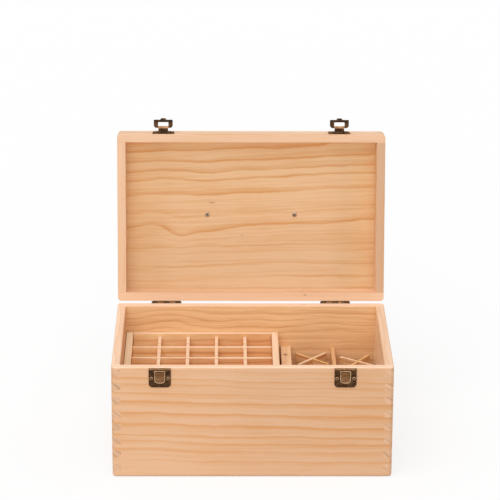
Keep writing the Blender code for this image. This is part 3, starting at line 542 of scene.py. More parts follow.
# %% [markdown]
# ## Boards
#
# The boards of the solid model have the right sizes and joints, but their edges are knife sharp.
# Real boards are sanded, so light catches a thin round edge everywhere. A copy of each board is
# merged into one skin, its flat faces are joined again, and a small live bevel rounds the edges.
# The copy then stands for the solid. The solids also keep a saw gap between two fingers, which
# glue fills on the real box, so the first helper closes it by growing both sides.

# %% Glue the finger joints
JOINT_GAP = 0.3 * MM
JOINT_GROWTH = 0.149 * MM
TOUCH = 0.01 * MM


def board_tree(node):
    """A search tree of a solid board's faces, for asking what lies close in front of a point."""
    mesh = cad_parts[node].data
    places = [vertex.co for vertex in mesh.vertices]
    return BVHTree.FromPolygons(places, [tuple(face.vertices) for face in mesh.polygons])


def lies_close(trees, start, direction):
    """True if one of the trees is hit within about a saw gap of the start."""
    start = start + direction * TOUCH
    return any(tree.ray_cast(start, direction, 1.3 * JOINT_GAP)[0] for tree in trees)


def glued_faces(skin, trees):
    """The faces that lie a saw gap from a neighbour."""
    return [face for face in skin.faces if lies_close(trees, face.calc_center_median(), face.normal)]


def glue_joints(skin, trees):
    """Moves each face that lies a saw gap from a neighbour outwards by nearly half of the gap.

    A corner where several such faces meet moves by the shortest step whose share along every one
    of their normals is the same growth.
    """
    moves = {}
    for face in glued_faces(skin, trees):
        for vertex in face.verts:
            moves.setdefault(vertex, []).append(face.normal.copy())
    for vertex, normals in moves.items():
        growth = np.full(len(normals), JOINT_GROWTH)
        step = np.linalg.lstsq(np.array(normals), growth, rcond=1e-3)[0]
        vertex.co += Vector(step)


# %% [markdown]
# Only the free edges are rounded. An edge between two glued boards was sanded flush, so it stays
# sharp and all but disappears, as it does on the real box. A long inner edge is free in its middle
# and glued at its ends, so the board is first cut where the roots of its fingers lie.

# %% Sanded copies of the boards
SMOOTH_ANGLE = math.radians(40)
LONG_EDGE = 2.5 * MM
NUDGE = 0.4 * MM
WELD = 0.005 * MM
FLAT_ANGLE = math.radians(1)
UPRIGHT = 0.9
CORNER_ROUNDING = 2.4 * MM


def cut_at_roots(skin, glued, along):
    """Cuts the skin along each plane, square to the grain, in which roots of fingers lie."""
    roots = {}
    for face in glued:
        if abs(face.normal.dot(along)) > 0.99:
            middle = face.calc_center_median()
            roots[round(middle.dot(along) * PER_MM, 1)] = middle.copy()
    for middle in roots.values():
        geometry = skin.verts[:] + skin.edges[:] + skin.faces[:]
        bmesh.ops.bisect_plane(skin, geom=geometry, dist=TOUCH, plane_co=middle, plane_no=along)


def is_glued(edge, trees):
    """True if a neighbour lies close in front of either face of the edge, just beside the edge."""
    middle = (edge.verts[0].co + edge.verts[1].co) / 2
    first, second = edge.link_faces
    return any(
        lies_close(trees, middle - other.normal * NUDGE, face.normal)
        for face, other in ((first, second), (second, first))
    )


def sanded_copy(node, body, material, rounding, neighbours, along):
    """A copy of a solid board with its sharp long edges rounded by `rounding` metres.

    The bevel width of an edge is its weight times the corner rounding, which the upright edges of
    a finger-jointed box board get in full.
    """
    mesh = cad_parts[node].data.copy()
    mesh.name = node + "_sanded"
    skin = bmesh.new()
    skin.from_mesh(mesh)
    bmesh.ops.remove_doubles(skin, verts=skin.verts, dist=WELD)
    bmesh.ops.dissolve_limit(skin, angle_limit=FLAT_ANGLE, verts=skin.verts, edges=skin.edges)
    trees = [board_tree(other) for other in neighbours]
    cut_at_roots(skin, glued_faces(skin, trees), along)
    weight = skin.edges.layers.float.new("bevel_weight_edge")
    for edge in skin.edges:
        if len(edge.link_faces) == 2 and edge.is_convex and edge.calc_length() > LONG_EDGE:
            if edge.calc_face_angle() > SMOOTH_ANGLE and not is_glued(edge, trees):
                lying = abs((edge.verts[1].co - edge.verts[0].co).normalized().z) < UPRIGHT
                edge[weight] = rounding / CORNER_ROUNDING if lying or body != "box" or not trees else 1.0
    glue_joints(skin, trees)
    skin.to_mesh(mesh)
    skin.free()
    for layer in list(mesh.attributes):
        if layer.name in ("sharp_edge", "sharp_face", "custom_normal"):
            mesh.attributes.remove(layer)
    mesh.polygons.foreach_set("use_smooth", np.ones(len(mesh.polygons), bool))
    mesh.set_sharp_from_angle(angle=SMOOTH_ANGLE)
    mesh.materials.clear()
    mesh.materials.append(material)
    piece = bpy.data.objects.new(mesh.name, mesh)
    bpy.context.scene.collection.objects.link(piece)
    bevel = piece.modifiers.new("sanding", "BEVEL")
    bevel.limit_method = "WEIGHT"
    bevel.width = CORNER_ROUNDING
    bevel.segments = 2
    bevel.harden_normals = True
    steady = piece.modifiers.new("even_faces", "WEIGHTED_NORMAL")
    steady.mode = "FACE_AREA"
    steady.keep_sharp = True
    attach(piece, body)
    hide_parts(node)
    return piece


# %% [markdown]
# The lid is drawn open, turned back about its hinges by a little more than a right angle. Its own
# directions are needed to lay its grain: up along the open panel, and into the depth of the frame.

# %% Directions of the open lid
LID_TURN = math.radians(100.4)
LID_RISE = Vector((0, math.sin(LID_TURN - math.pi / 2), math.cos(LID_TURN - math.pi / 2)))
LID_DEPTH = Vector((0, LID_RISE.z, -LID_RISE.y))
LID_START = Vector((0, 0.105343, 0.14795))
print("the open lid rises along", [round(v, 3) for v in LID_RISE])

# %% [markdown]
# The lid panel shows its rings as nearly level lines that rise to the right, closer together at
# the top, with a deep dip at the left where a knot lies under the surface. The front board is
# flatter, with its lines falling a little to the right and three broad orange ones in the middle.
# The back board, seen inside above the trays, has lines that roll in long low waves. For each of
# the three, the rings are listed as heights and strengths, and bumps bend them: the place of a
# bump, how far it reaches both ways, and by how many millimetres it pushes. Painted shade makes
# the panel a little darker beside the frame and at its foot, and painted light makes it paler
# along its top, where the frame shades it. Painted shade dims the front slowly to the right, and
# the back board is paler than its wood, painted light for the inside of the box.

# %% Lid panel, front and back board
PANEL_PALE = (0.775, 0.485, 0.265, 1)
# Painted light: the back board is paler than its wood, to light the inside of the box.
BACK_WALL_PAINTED_LIGHT = (0.90, 0.575, 0.30, 1)
FRONT_LATE = (0.72, 0.345, 0.135, 1)
PANEL_HEIGHT = 185.0
BOARD_HEIGHT = 140.0
PANEL_RINGS = [
    (4.0, 0.1), (11.5, 0.28), (29.3, 0.35), (45.5, 0.25), (52.0, 0.4), (63.5, 0.2), (76.0, 0.74),
    (94.5, 0.3), (118.0, 0.7), (135.5, 0.9), (145.5, 0.85), (158.5, 0.9), (173.0, 1.0), (185.0, 0.3),
]
FRONT_RINGS = [
    (11.0, 0.12), (20.5, 0.5), (33.5, 0.55), (42.8, 0.75), (51.2, 0.85), (64.8, 1.0), (78.5, 1.0),
    (92.0, 0.95), (102.5, 0.7), (112.5, 0.55), (120.0, 0.75), (131.0, 0.4),
]
BACK_RINGS = [
    (12.0, 0.3), (25.0, 0.4), (38.0, 0.3), (52.0, 0.45), (66.0, 0.3), (80.0, 0.4), (94.5, 0.4),
    (103.0, 0.4), (110.5, 0.5), (119.5, 0.5), (127.3, 0.4), (140.0, 0.25),
]
PANEL_BUMPS = [
    ((-85, 70), (15, 20), 8.5), ((-64, 72), (30, 18), 4.5), ((-120, 78), (20, 24), -5.0),
    ((-100, 140), (28, 42), -2.8), ((-44, 134), (26, 40), 1.8), ((20, 84), (45, 12), -1.8),
    ((84, 80), (16, 9), 1.0), ((65, 168), (95, 18), 3.4), ((60, 98), (120, 7), 5.6),
    ((130, 15), (60, 12), -3.0), ((150, 84), (40, 14), -3.0), ((-150, 152), (45, 36), -2.4),
    ((-78, 52), (34, 9), -3.5), ((-145, 24), (50, 20), 5.0),
]
FRONT_BUMPS = [
    ((-85, 70), (62, 26), -2.0), ((-150, 24), (38, 12), 2.8), ((88, 60), (40, 9), 2.8),
    ((148, 90), (45, 16), -1.6), ((60, 76), (35, 6), 1.2), ((62, 35), (45, 9), 3.0),
]
BACK_BUMPS = [
    ((-98, 119), (32, 18), -5.2), ((-47, 115), (30, 11), 3.0), ((42, 118), (34, 17), 3.0),
    ((88, 112), (32, 9), -3.2), ((110, 96), (30, 8), 1.5),
]
# Painted light along the top of the panel, which the frame shades, and painted shade at its foot.
PANEL_PAINTED_LIGHT_AND_SHADE = [
    (0, (0.92, 0.98, 1.04)), (30, (0.95, 0.98, 1.01)), (90, 1.0), (150, (1.04, 1.07, 1.08)),
    (170, (1.18, 1.26, 1.25)), (186, (1.48, 1.56, 1.46)),
]
# Painted shade beside the left and right boards of the lid frame.
PANEL_SIDE_PAINTED_SHADE = [
    (-150, (1.03, 1.03, 0.97)), (-132, (1.0, 0.99, 0.93)), (-112, (0.96, 0.94, 0.90)), (-88, 1.0),
    (90, 1.0), (112, (0.95, 0.96, 0.95)), (135, (0.98, 0.99, 0.94)), (150, (1.02, 1.03, 0.96)),
]
# Painted shade that grows across the front towards the right.
FRONT_PAINTED_SHADE = [(-160, 1.01), (-60, 0.99), (20, 0.94), (160, 0.92)]
PANEL_FACE = LID_START + 28 * MM * LID_DEPTH
PANEL_KNOTS = [
    (PANEL_FACE + MM * (-47 * RIGHT + 105.5 * LID_RISE), (3.4, 0.65, 9.0), 0.85),
    (PANEL_FACE + MM * (-10.6 * RIGHT + 65.4 * LID_RISE), (1.3, 0.8, 9.0), 0.45),
]
RIM_KNOT = ((0.064, 0.097, 0.136), (1.5, 2.0, 0.8), 0.5)

ready_woods = {
    "lid_top_panel": pine(
        "pine_lid_panel", RIGHT, LID_RISE, PANEL_FACE, 1.3, PANEL_RINGS, PANEL_HEIGHT, bumps=PANEL_BUMPS,
        knots=PANEL_KNOTS, light_and_tone_levels=[(1, -LID_DEPTH, PANEL_PAINTED_LIGHT_AND_SHADE), (0, -LID_DEPTH, PANEL_SIDE_PAINTED_SHADE)],
        Lean=0.6, Slope=-0.004, Fan=-0.00034, Sway=9.0, Ripple=4.0, Pale=PANEL_PALE,
    ),
    # The front carries painted shade towards the right, as a later colour along the run and as levels.
    "box_front_board": pine(
        "pine_front", RIGHT, UP, Vector((0, -0.101, 0)), 2.7, FRONT_RINGS, BOARD_HEIGHT, fade_up=False,
        fade=1.2, bumps=FRONT_BUMPS, light_and_tone_levels=[(0, -BACK, FRONT_PAINTED_SHADE)],
        Lean=0.8, Slope=0.018, Sway=9.0, Ripple=4.0, Late=FRONT_LATE, Shade=0.05,
    ),
    "box_back_board": pine(
        "pine_back", RIGHT, UP, Vector((0, 0.091, 0)), 5.1, BACK_RINGS, BOARD_HEIGHT, bumps=BACK_BUMPS,
        knots=[RIM_KNOT], Lean=0.6, Slope=0.003, Sway=9.0, Ripple=5.0, Pale=BACK_WALL_PAINTED_LIGHT,
    ),
}
print("boards with rings of their own:", list(ready_woods))

# %% [markdown]
# The other boards follow from a table: the body they move with, the direction of their grain, the
# direction across it, how round their edges are in millimetres, and their names. Some have a knot
# or an edge of their own tone. The left end of the upper tray and the crossed inserts lie in the
# shade of the walls round them, and their edges carry painted light. The right wall and the cells
# of the upper tray get levels of painted light, because light from the pale boards around them
# makes them brighter than their wood, and the front rows of the cells get painted shade.
#
# A crossed insert stands at 45 degrees in its cell, give or take a few. Its grain runs along one
# plate, and from above one plate is orange and the other pale. Its level tells them apart: what
# lies within the half thickness of the middle line belongs to the plate along the grain.

# %% Every board
# The lid's frame boards are paler than their wood: painted light for their inner faces.
LID_PAINTED_LIGHT_PALE, LID_EDGE = (0.92, 0.63, 0.41, 1), (0.82, 0.525, 0.33, 1)
INSIDE_PALE, INSIDE_EDGE = (0.86, 0.53, 0.265, 1), (0.95, 0.68, 0.47, 1)
FIRST_SEED, SEED_STEP = 3.1, 1.7
INSERT_TURNS = (3.0, 11.0, -4.0, 6.0, 5.0, -6.0)
INSERTS = [f"cross_insert_{number}" for number in range(1, 7)]
CROSSED = ["upper_tray_grid", *INSERTS]
PLATE_HALF, PLATE_CLEAR = 1.6, 2.0
ORANGE = (0.86, 0.71, 0.46)
ROWS = [
    ("box", RIGHT, UP, 1.4, "box_front_board box_back_board"),
    ("box", BACK, UP, 1.4, "box_left_board box_right_board"),
    ("box", RIGHT, BACK, 0.3, "bottom_panel"),
    ("box", BACK, UP, 0.4, "partition_board"),
    ("box", BACK, UP, 0.3, "tall_long_divider"),
    ("box", RIGHT, UP, 0.3, "tall_cross_divider_front tall_cross_divider_back"),
    ("lid", RIGHT, LID_RISE, 0.5, "lid_top_panel"),
    ("lid", RIGHT, LID_DEPTH, 0.5, "lid_front_board lid_back_board"),
    ("lid", LID_RISE, LID_DEPTH, 0.5, "lid_left_board lid_right_board"),
    ("lower_tray", BACK, UP, 0.3, "lower_tray_end_left lower_tray_end_right"),
    ("lower_tray", RIGHT, UP, 0.3, "lower_tray_rail_front lower_tray_rail_back"),
    ("upper_tray", BACK, UP, 0.4, "upper_tray_end_left upper_tray_end_right"),
    ("upper_tray", RIGHT, UP, 0.4, "upper_tray_rail_front upper_tray_rail_back"),
    ("upper_tray", RIGHT, BACK, 0.2, "upper_tray_floor"),
    ("upper_tray", RIGHT, UP, 0.3, "upper_tray_grid"),
    ("lower_tray", RIGHT, UP, 0.3, " ".join(f"lower_tray_long_divider_{n}" for n in range(1, 5))),
    ("lower_tray", BACK, UP, 0.3, " ".join(f"lower_tray_cross_divider_{n}" for n in range(1, 5))),
]
for node, turn in zip(INSERTS, INSERT_TURNS):
    angle = math.radians(45 + turn)
    ROWS.append((node, Vector((math.cos(angle), math.sin(angle), 0)), UP, 0.3, node))
BOARDS = [(node, *row[:-1]) for row in ROWS for node in row[-1].split()]
GLUED = {
    body: [f"{body}_{side}_board" for side in ("front", "back", "left", "right")] for body in ("box", "lid")
}
KNOTS = {
    "partition_board": [((0.0412, 0.0633, 0.0848), (3.0, 9.0, 2.6), 1.0)],
    "lid_back_board": [(LID_START + MM * (65 * RIGHT - 2.6 * LID_RISE), (1.5, 9.0, 0.8), 0.7)],
}
EDGE_TONES_AND_PAINTED_LIGHT = {
    "lid_right_board": (0.65, 0.395, 0.238, 1),
    "box_right_board": (0.88, 0.605, 0.415, 1),
    # Painted light: this end lies in the shade of the box's left wall, so its edge is painted paler.
    "upper_tray_end_left": (1.0, 0.83, 0.58, 1),
    "partition_board": (0.95, 0.67, 0.42, 1),
    "tall_long_divider": (0.74, 0.44, 0.21, 1),
    # Painted light: the inserts' edges lie low in their cells, in shade, and are painted paler.
    **dict.fromkeys(INSERTS, (0.97, 0.74, 0.51, 1)),
}
# Painted light on the right wall's inner face and in the cells of the upper tray, and painted shade on the
# front rows of cells.
WALL_PAINTED_LIGHT = [(60, (1.27, 1.60, 1.95)), (118, (1.27, 1.60, 1.95)), (136, (1.18, 1.34, 1.45))]
CELL_PAINTED_LIGHT = [
    (0, (1.18, 1.32, 1.40)), (20, (1.18, 1.32, 1.40)), (50, (1.06, 1.10, 1.15)),
    (90, (1.03, 1.04, 1.07)), (150, (1.04, 0.98, 0.91)),
]
ROW_PAINTED_SHADE = [(-135, 1.0), (-115, 1.0), (-105, (0.92, 0.84, 0.82)), (0, (0.92, 0.84, 0.82))]
LIGHT_AND_TONE_LEVELS = {
    "box_right_board": [(1, -RIGHT, WALL_PAINTED_LIGHT)],
    "upper_tray_rail_back": [(0, -BACK, CELL_PAINTED_LIGHT)],
    "upper_tray_grid": [(0, -BACK, CELL_PAINTED_LIGHT), (2, -BACK, ROW_PAINTED_SHADE)],
}
for number, node in enumerate(INSERTS):
    outer, middle = (1.0, ORANGE) if number % 2 else (ORANGE, 1.0)
    tops = [(-PLATE_CLEAR, outer), (-PLATE_HALF, middle), (PLATE_HALF, middle), (PLATE_CLEAR, outer)]
    LIGHT_AND_TONE_LEVELS[node] = [(2, UP, tops)]

faces = 0
for number, (node, body, along, across, rounding) in enumerate(BOARDS):
    inner = body not in GLUED or any(word in node for word in ("divider", "partition", "bottom"))
    pale, edge = (LID_PAINTED_LIGHT_PALE, LID_EDGE) if body == "lid" else (PALE, EDGE)
    pale, edge = (INSIDE_PALE, INSIDE_EDGE) if inner else (pale, edge)
    wood = ready_woods.get(node)
    if wood is None:
        low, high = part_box(node)
        start = (low + high) / 2 if node in INSERTS else low
        wood = pine(
            f"pine_{node}", along, across, start, FIRST_SEED + SEED_STEP * number,
            knots=KNOTS.get(node, ()), light_and_tone_levels=LIGHT_AND_TONE_LEVELS.get(node, ()), crossed=node in CROSSED,
            Lean=0.7, Pale=pale, Edge=EDGE_TONES_AND_PAINTED_LIGHT.get(node, edge),
        )
    family = GLUED.get(body, ())
    neighbours = [other for other in family if other != node] if node in family else ()
    piece = sanded_copy(node, body, wood, rounding * MM, neighbours, along)
    faces += len(piece.data.polygons)
print("boards:", len(BOARDS), "faces:", faces)

# %% [markdown]
# ## Hardware finish
#
# The latches and hinges are stamped steel with an antique finish: nearly black brown in the
# hollows, brown where the metal is bent, and bare brass along edges that hands and tools rub. How
# rubbed a place is comes with the mesh as a number on each point, called wear. A colour ramp
# turns it into a finish, and a noise in two sizes breaks it up, so no edge is evenly bright.

# %% Antique bronze
PATINA = {
    "Dark": (0.030, 0.017, 0.010, 1), "Brown": (0.24, 0.112, 0.045, 1), "Brass": (0.60, 0.395, 0.235, 1),
}
PATINA_RIM = (0.50, 0.36, 0.26, 1)
CLOUD_SCALE, CLOUD_PULL = 330.0, 0.75
GRIT_SCALE = 2400.0
GRIT_GLOSS, METAL_ROUGHNESS = 0.30, 0.30

patina, enter, leave = new_group(
    "patina",
    {"Point": (0, 0, 0), "Wear": 0.0, **PATINA},
    {"Color": "Color", "Roughness": "Float", "Height": "Float"},
)
cloud = effect("TexNoise", {"Vector": enter["Point"], "Scale": CLOUD_SCALE, "Detail": 4.0})
grit = effect("TexNoise", {"Vector": enter["Point"], "Scale": GRIT_SCALE, "Detail": 2.0})
worn = effect("Clamp", [enter["Wear"] + (cloud - 0.5) * CLOUD_PULL])
browned = blend_colors(share_between(worn, 0.0, 0.5), enter["Dark"], enter["Brown"])
colour = blend_colors(share_between(worn, 0.5, 1.0), browned, enter["Brass"])
roughness = grit * GRIT_GLOSS + METAL_ROUGHNESS
feed(leave, {"Color": colour, "Roughness": roughness, "Height": grit})


def patinated(name, metallic, **colours):
    """A metal whose patina follows the wear of the mesh. Returns material, shader and grit."""
    material, shader = new_material(name)
    place = add_node(material.node_tree, "TexCoord").outputs["Object"]
    wear = add_node(material.node_tree, "Attribute", attribute_name="wear").outputs["Fac"]
    finish = place_group(patina, {"Point": Signal(place), "Wear": Signal(wear), **colours})
    feed(shader, {"Base Color": finish["Color"], "Roughness": finish["Roughness"], "Metallic": metallic})
    return material, shader, finish["Height"]


antique_bronze, shader, grit = patinated("rubbed_bronze", 0.8)
relief = effect("Bump", {"Height": grit, "Strength": 0.25, "Distance": 0.00004})
feed(shader, {"Normal": relief, "Specular IOR Level": 0.2, "Specular Tint": PATINA_RIM})
print("finish:", antique_bronze.name)

# %% [markdown]
# ## Stamped parts as stacks of outlines
#
# A stamped plate is one outline seen from the front. Drawn several times, each time a little
# further in and higher, the outline climbs over the rounded edge of the sheet and onto its face.
# Such a stack of rings is a surface of two parameters: the place along the outline and the step of
# the profile. It gives clean rounded edges everywhere with few faces, which a block with a bevel
# does not at this size.

# %% Outlines and rings
CORNER_STEPS = 6


def corner_points(middle, radius, start_deg):
    """A quarter circle: the middle plus the radius turned from `start_deg` by 90 degrees."""
    angles = np.radians(start_deg + np.linspace(0, 90, CORNER_STEPS + 1))
    return np.stack([middle[0] + radius * np.cos(angles), middle[1] + radius * np.sin(angles)], -1)


def plate_outline(half_width, low, high, low_corner, high_corner):
    """A plate with four rounded corners, counter-clockwise from its lower right corner, in mm."""
    spots = (
        (half_width - low_corner, low + low_corner, low_corner, -90),
        (half_width - high_corner, high - high_corner, high_corner, 0),
        (-half_width + high_corner, high - high_corner, high_corner, 90),
        (-half_width + low_corner, low + low_corner, low_corner, 180),
    )
    return np.concatenate([corner_points((x, z), radius, start) for x, z, radius, start in spots])


def inset_outline(outline, inset):
    """Each side of the outline moved inwards by `inset`.

    A corner moves along the sum of its two inward normals, divided by one plus their cosine, which
    keeps it at the same distance from both sides.
    """
    side = np.roll(outline, -1, 0) - outline
    inward = np.stack([-side[:, 1], side[:, 0]], -1) / np.linalg.norm(side, axis=1)[:, None]
    before = np.roll(inward, 1, 0)
    cosine = np.sum(before * inward, axis=1)[:, None]
    return outline + inset * (before + inward) / (1 + cosine)


print("a plate outline has", len(plate_outline(10, 0, 20, 3, 3)), "points")

# %% [markdown]
# A shell is a closed skin made of rings, with a wear for every point. Stamped shells come from an
# outline, and lathe shells from a profile of circles. One more helper joins several shells into
# one mesh, closes their ends, turns every shell's faces outwards by the sign of its volume, and
# tells the frame which body carries the piece and which solid it replaces. It prints how far the
# piece's corners lie from those of the solid, which shows at once if a measure is wrong.

# %% From grids to pieces
SHARP_METAL = math.radians(50)


def shell(points, wear=0.0, loop=False):
    """One closed shell: a grid of rings in millimetres, and the wear of each ring or point.

    With `loop` the last ring is joined to the first, as on a frame. Otherwise both ends are capped.
    """
    wear = np.asarray(wear, float)
    if wear.ndim == 1:
        wear = wear[:, None]
    return points, np.broadcast_to(wear, points.shape[:2]), loop


def stamped(outline, profile, shift, forward=1):
    """The outline inset and lifted by each (inset, height, wear), forward (-Y) or, with -1, back."""
    insets, heights, wear = np.array(profile, float).T
    xz = np.stack([inset_outline(outline, inset) for inset in insets])
    y = np.broadcast_to(-forward * heights[:, None], xz.shape[:2])
    return shell(np.stack([xz[..., 0], y, xz[..., 1]], -1) + shift, wear)


def turned(profile, start, direction, wear, sides=32):
    """A lathe shape: each (radius, distance) of the profile is a circle round the direction."""
    direction = np.array(direction, float)
    across = np.array((0, 0, 1.0)) if abs(direction[2]) < 0.9 else np.array((1.0, 0, 0))
    other = np.cross(direction, across)
    angles = np.linspace(0, 2 * np.pi, sides, endpoint=False)
    circle = np.cos(angles)[:, None] * across + np.sin(angles)[:, None] * other
    rings = [np.array(start) + distance * direction + radius * circle for radius, distance in profile]
    return shell(np.stack(rings), wear)


def shell_faces(rows, columns, loop):
    """Quads between neighbouring rings, wrapped round the ring, and two caps unless it is a loop."""
    index = np.arange(rows * columns).reshape(rows, columns)
    following = np.roll(index, -1, 0) if loop else index[1:]
    current = index if loop else index[:-1]
    quads = np.stack([current, np.roll(current, -1, 1), np.roll(following, -1, 1), following], -1)
    caps = [] if loop else [index[0][::-1].tolist(), index[-1].tolist()]
    return quads.reshape(-1, 4).tolist() + caps


def signed_volume(points, faces):
    """Sum of the cones from the middle to each face, cut into triangles: negative if inside out."""
    centred = points - points.mean(0)
    fans = [(face[0], face[k], face[k + 1]) for face in faces for k in range(1, len(face) - 1)]
    a, b, c = (centred[np.array(fans)[:, k]] for k in range(3))
    return np.sum(a * np.cross(b, c)) / 6


def make_piece(name, shells, body, node, place=None, material=antique_bronze):
    """Builds the piece that stands for a node. `place` moves its points (in metres) to their place."""
    all_points, all_wear, all_faces = [], [], []
    start = 0
    for points, wear, loop in shells:
        flat = points.reshape(-1, 3)
        faces = shell_faces(*points.shape[:2], loop)
        if signed_volume(flat, faces) < 0:
            faces = [face[::-1] for face in faces]
        all_points.append(flat)
        all_wear.append(wear.reshape(-1))
        all_faces += [[corner + start for corner in face] for face in faces]
        start += len(flat)
    points = np.concatenate(all_points) * MM
    points = points if place is None else place(points)
    mesh = bpy.data.meshes.new(name)
    mesh.from_pydata(points.tolist(), [], all_faces)
    mesh.attributes.new("wear", "FLOAT", "POINT").data.foreach_set("value", np.concatenate(all_wear))
    mesh.polygons.foreach_set("use_smooth", np.ones(len(mesh.polygons), bool))
    mesh.set_sharp_from_angle(angle=SHARP_METAL)
    mesh.materials.append(material)
    piece = bpy.data.objects.new(name, mesh)
    bpy.context.scene.collection.objects.link(piece)
    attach(piece, body)
    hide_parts(node)
    low, high = np.array(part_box(node))
    print(name, np.round((points.min(0) - low) * PER_MM, 2), np.round((points.max(0) - high) * PER_MM, 2))


# %% [markdown]
# ## Catches
#
# Under each latch sits a catch: a small plate with a folded lip along its top, and on it a raised
# shield with a rubbed border round a cross-hatched field. The hasp snaps over the block at the top
# of the shield. The plate, lip, border and block are stacks of outlines.

# %% Catch sizes in millimetres
BOX_FACE = -101.3
BOX_TOP = 136.0
SHEET = 0.9
LATCH_X = 105.0
SIDES = ((-1, "left"), (1, "right"))
CATCH = plate_outline(12.5, BOX_TOP - 23.7, BOX_TOP - 0.5, 4.3, 0.3)
LIP = plate_outline(12.5, BOX_TOP - 2.6, BOX_TOP - 0.5, 0.35, 0.35)
SHIELD = plate_outline(6.15, BOX_TOP - 18.6, BOX_TOP - 3.4, 4.3, 0.5)
BLOCK = plate_outline(4.8, 127.2, 130.9, 0.8, 0.5)
SHEET_EDGE = [(0.0, 0.0, 0.1), (0.0, SHEET - 0.3, 0.35), (0.1, SHEET - 0.08, 0.55), (0.3, SHEET, 0.12)]
LIP_EDGE = [(0, -0.4, 0.2), (0, 0.5, 0.4), (0.12, 0.78, 0.6), (0.4, 0.9, 0.5)]
SHIELD_EDGE = [
    (0, -0.4, 0.3), (0, 0.35, 0.5), (0.12, 0.6, 0.8), (0.35, 0.7, 0.95), (0.85, 0.7, 0.95),
    (1.1, 0.58, 0.6), (1.2, 0.3, 0.2),
]
BLOCK_EDGE = [(0, -0.2, 0.2), (0, 2.1, 0.4), (0.15, 2.6, 0.35), (0.6, 2.8, 0.45)]
print("catches stand at", LATCH_X, "mm on both sides of the middle")

# %% [markdown]
# The field of the shield is a surface over polar coordinates: rays go from the middle of the
# shield to its border, and at every point two families of slanted ridges give the height. The
# ridges cross like the lines of a file, and their tops are rubbed while their hollows stay dark.

# %% Cross-hatched field
HATCH_PITCH = 1.5
HATCH_DEPTH = 0.16
FIELD_RAYS = 24
FIELD_INSET, FIELD_BASE, FIELD_FLOOR = 1.15, 0.1, 0.42
FIELD_STEP = 0.8


def cut_sides(outline, longest=np.inf, least=1):
    """The outline with each side cut into steps no longer than `longest`, and `least` or more."""
    pieces = []
    for start, end in zip(outline, np.roll(outline, -1, 0)):
        count = max(int(np.ceil(np.linalg.norm(end - start) / longest)), least)
        pieces.append(start + (end - start) * (np.arange(count) / count)[:, None])
    return np.concatenate(pieces)


def hatched_field(outline):
    """Rings from the border to the middle, with ridges where either of two slanted waves is high.

    Height is the floor plus the depth times the larger of |cos| of the two slanted distances,
    raised to the fourth power, so the ridges are narrow and the hollows wide.
    """
    middle = outline.mean(0)
    shares = np.linspace(1.0, 0.02, FIELD_RAYS)[:, None, None]
    away = shares * (cut_sides(outline, least=3) - middle)
    slants = (away[..., 0] + away[..., 1], away[..., 0] - away[..., 1])
    waves = [np.abs(np.cos(slant * np.pi / HATCH_PITCH / math.sqrt(2))) for slant in slants]
    ridge = np.maximum(*waves) ** 4 * np.clip((1 - shares[..., 0]) * 6, 0, 1)
    x, z = np.moveaxis(middle + away, -1, 0)
    points = np.stack([x, -FIELD_FLOOR - HATCH_DEPTH * ridge, z], -1)
    sunk = points[:1].copy()
    sunk[..., 1] = -FIELD_BASE
    wear = np.concatenate([np.full((1, points.shape[1]), 0.3), 0.30 + 0.30 * ridge])
    return np.concatenate([sunk, points]), wear


field_points, field_wear = hatched_field(cut_sides(inset_outline(SHIELD, FIELD_INSET), FIELD_STEP))
print("points of the field:", field_points.shape)

# %% [markdown]
# A small round-headed screw with a cross slot holds every plate. Its head is a polar grid too: a
# dome whose height drops where the point lies within either arm of the cross.

# %% Screw heads
HEAD_RADIUS, HEAD_HEIGHT, HEAD_SUNK = 2.1, 1.0, 0.3
SLOT_END, SLOT_HALF, SLOT_SLOPE, SLOT_DEPTH = 0.62, 0.24, 0.10, 0.55
HEAD_RINGS, HEAD_SIDES = 15, 48
BEYOND = 9.0


def screw_head(place, direction, turn, radius=HEAD_RADIUS, height=HEAD_HEIGHT):
    """A domed head with a cross slot, seated at `place` and rising along `direction`, in mm.

    The dome is height times the root of one minus the squared share of the radius. The slot is
    sunk where either arm's middle line is near, with sloping sides, and it ends short of the rim.
    """
    direction = np.array(direction, float)
    across = np.array((1.0, 0, 0)) if abs(direction[0]) < 0.9 else np.array((0, 0, 1.0))
    other = np.cross(direction, across)
    shares = np.concatenate([[1.0, 1.0], np.sin(np.linspace(np.pi / 2, 0.03, HEAD_RINGS))])[:, None]
    angles = np.linspace(0, 2 * np.pi, HEAD_SIDES, endpoint=False)[None, :]
    dome = height * np.sqrt(np.clip(1 - shares**2, 0, 1)) + 0 * angles
    dome[0] = -HEAD_SUNK
    a = np.abs(radius * shares * np.cos(angles - turn))
    b = np.abs(radius * shares * np.sin(angles - turn))
    end = SLOT_END * radius
    arm = np.minimum(a + BEYOND * (b > end), b + BEYOND * (a > end))
    slot = np.clip((SLOT_HALF * radius - arm) / (SLOT_SLOPE * radius), 0, 1)
    points = (
        np.array(place, float)
        + (radius * shares * np.cos(angles))[..., None] * across
        + (radius * shares * np.sin(angles))[..., None] * other
        + (dome - SLOT_DEPTH * height * slot)[..., None] * direction
    )
    return shell(points, np.clip(0.90 - 0.2 * shares - 1.1 * slot, 0, 1))


# %% Make both catches
SCREW_REACH = 9.5
CATCH_SCREW_DROP = 12.6

for side, label in SIDES:
    shift = np.array((side * LATCH_X, BOX_FACE, 0))
    front = shift - (0, SHEET, 0)
    shells = [
        stamped(CATCH, SHEET_EDGE, shift),
        stamped(LIP, LIP_EDGE, front),
        stamped(SHIELD, SHIELD_EDGE, front),
        shell(field_points + front, field_wear),
        stamped(BLOCK, BLOCK_EDGE, front),
    ]
    make_piece(f"catch_plate_{label}", shells, "box", f"catch_{label}")
    for number, across in enumerate((-1, 1), 2 + side):
        place = front + (across * SCREW_REACH, -0.1, BOX_TOP - CATCH_SCREW_DROP)
        head = screw_head(place, (0, -1, 0), 0.3 + 0.5 * number)
        node = f"catch_screw_{number}"
        make_piece(f"catch_screw_head_{number}", [head], "box", node)

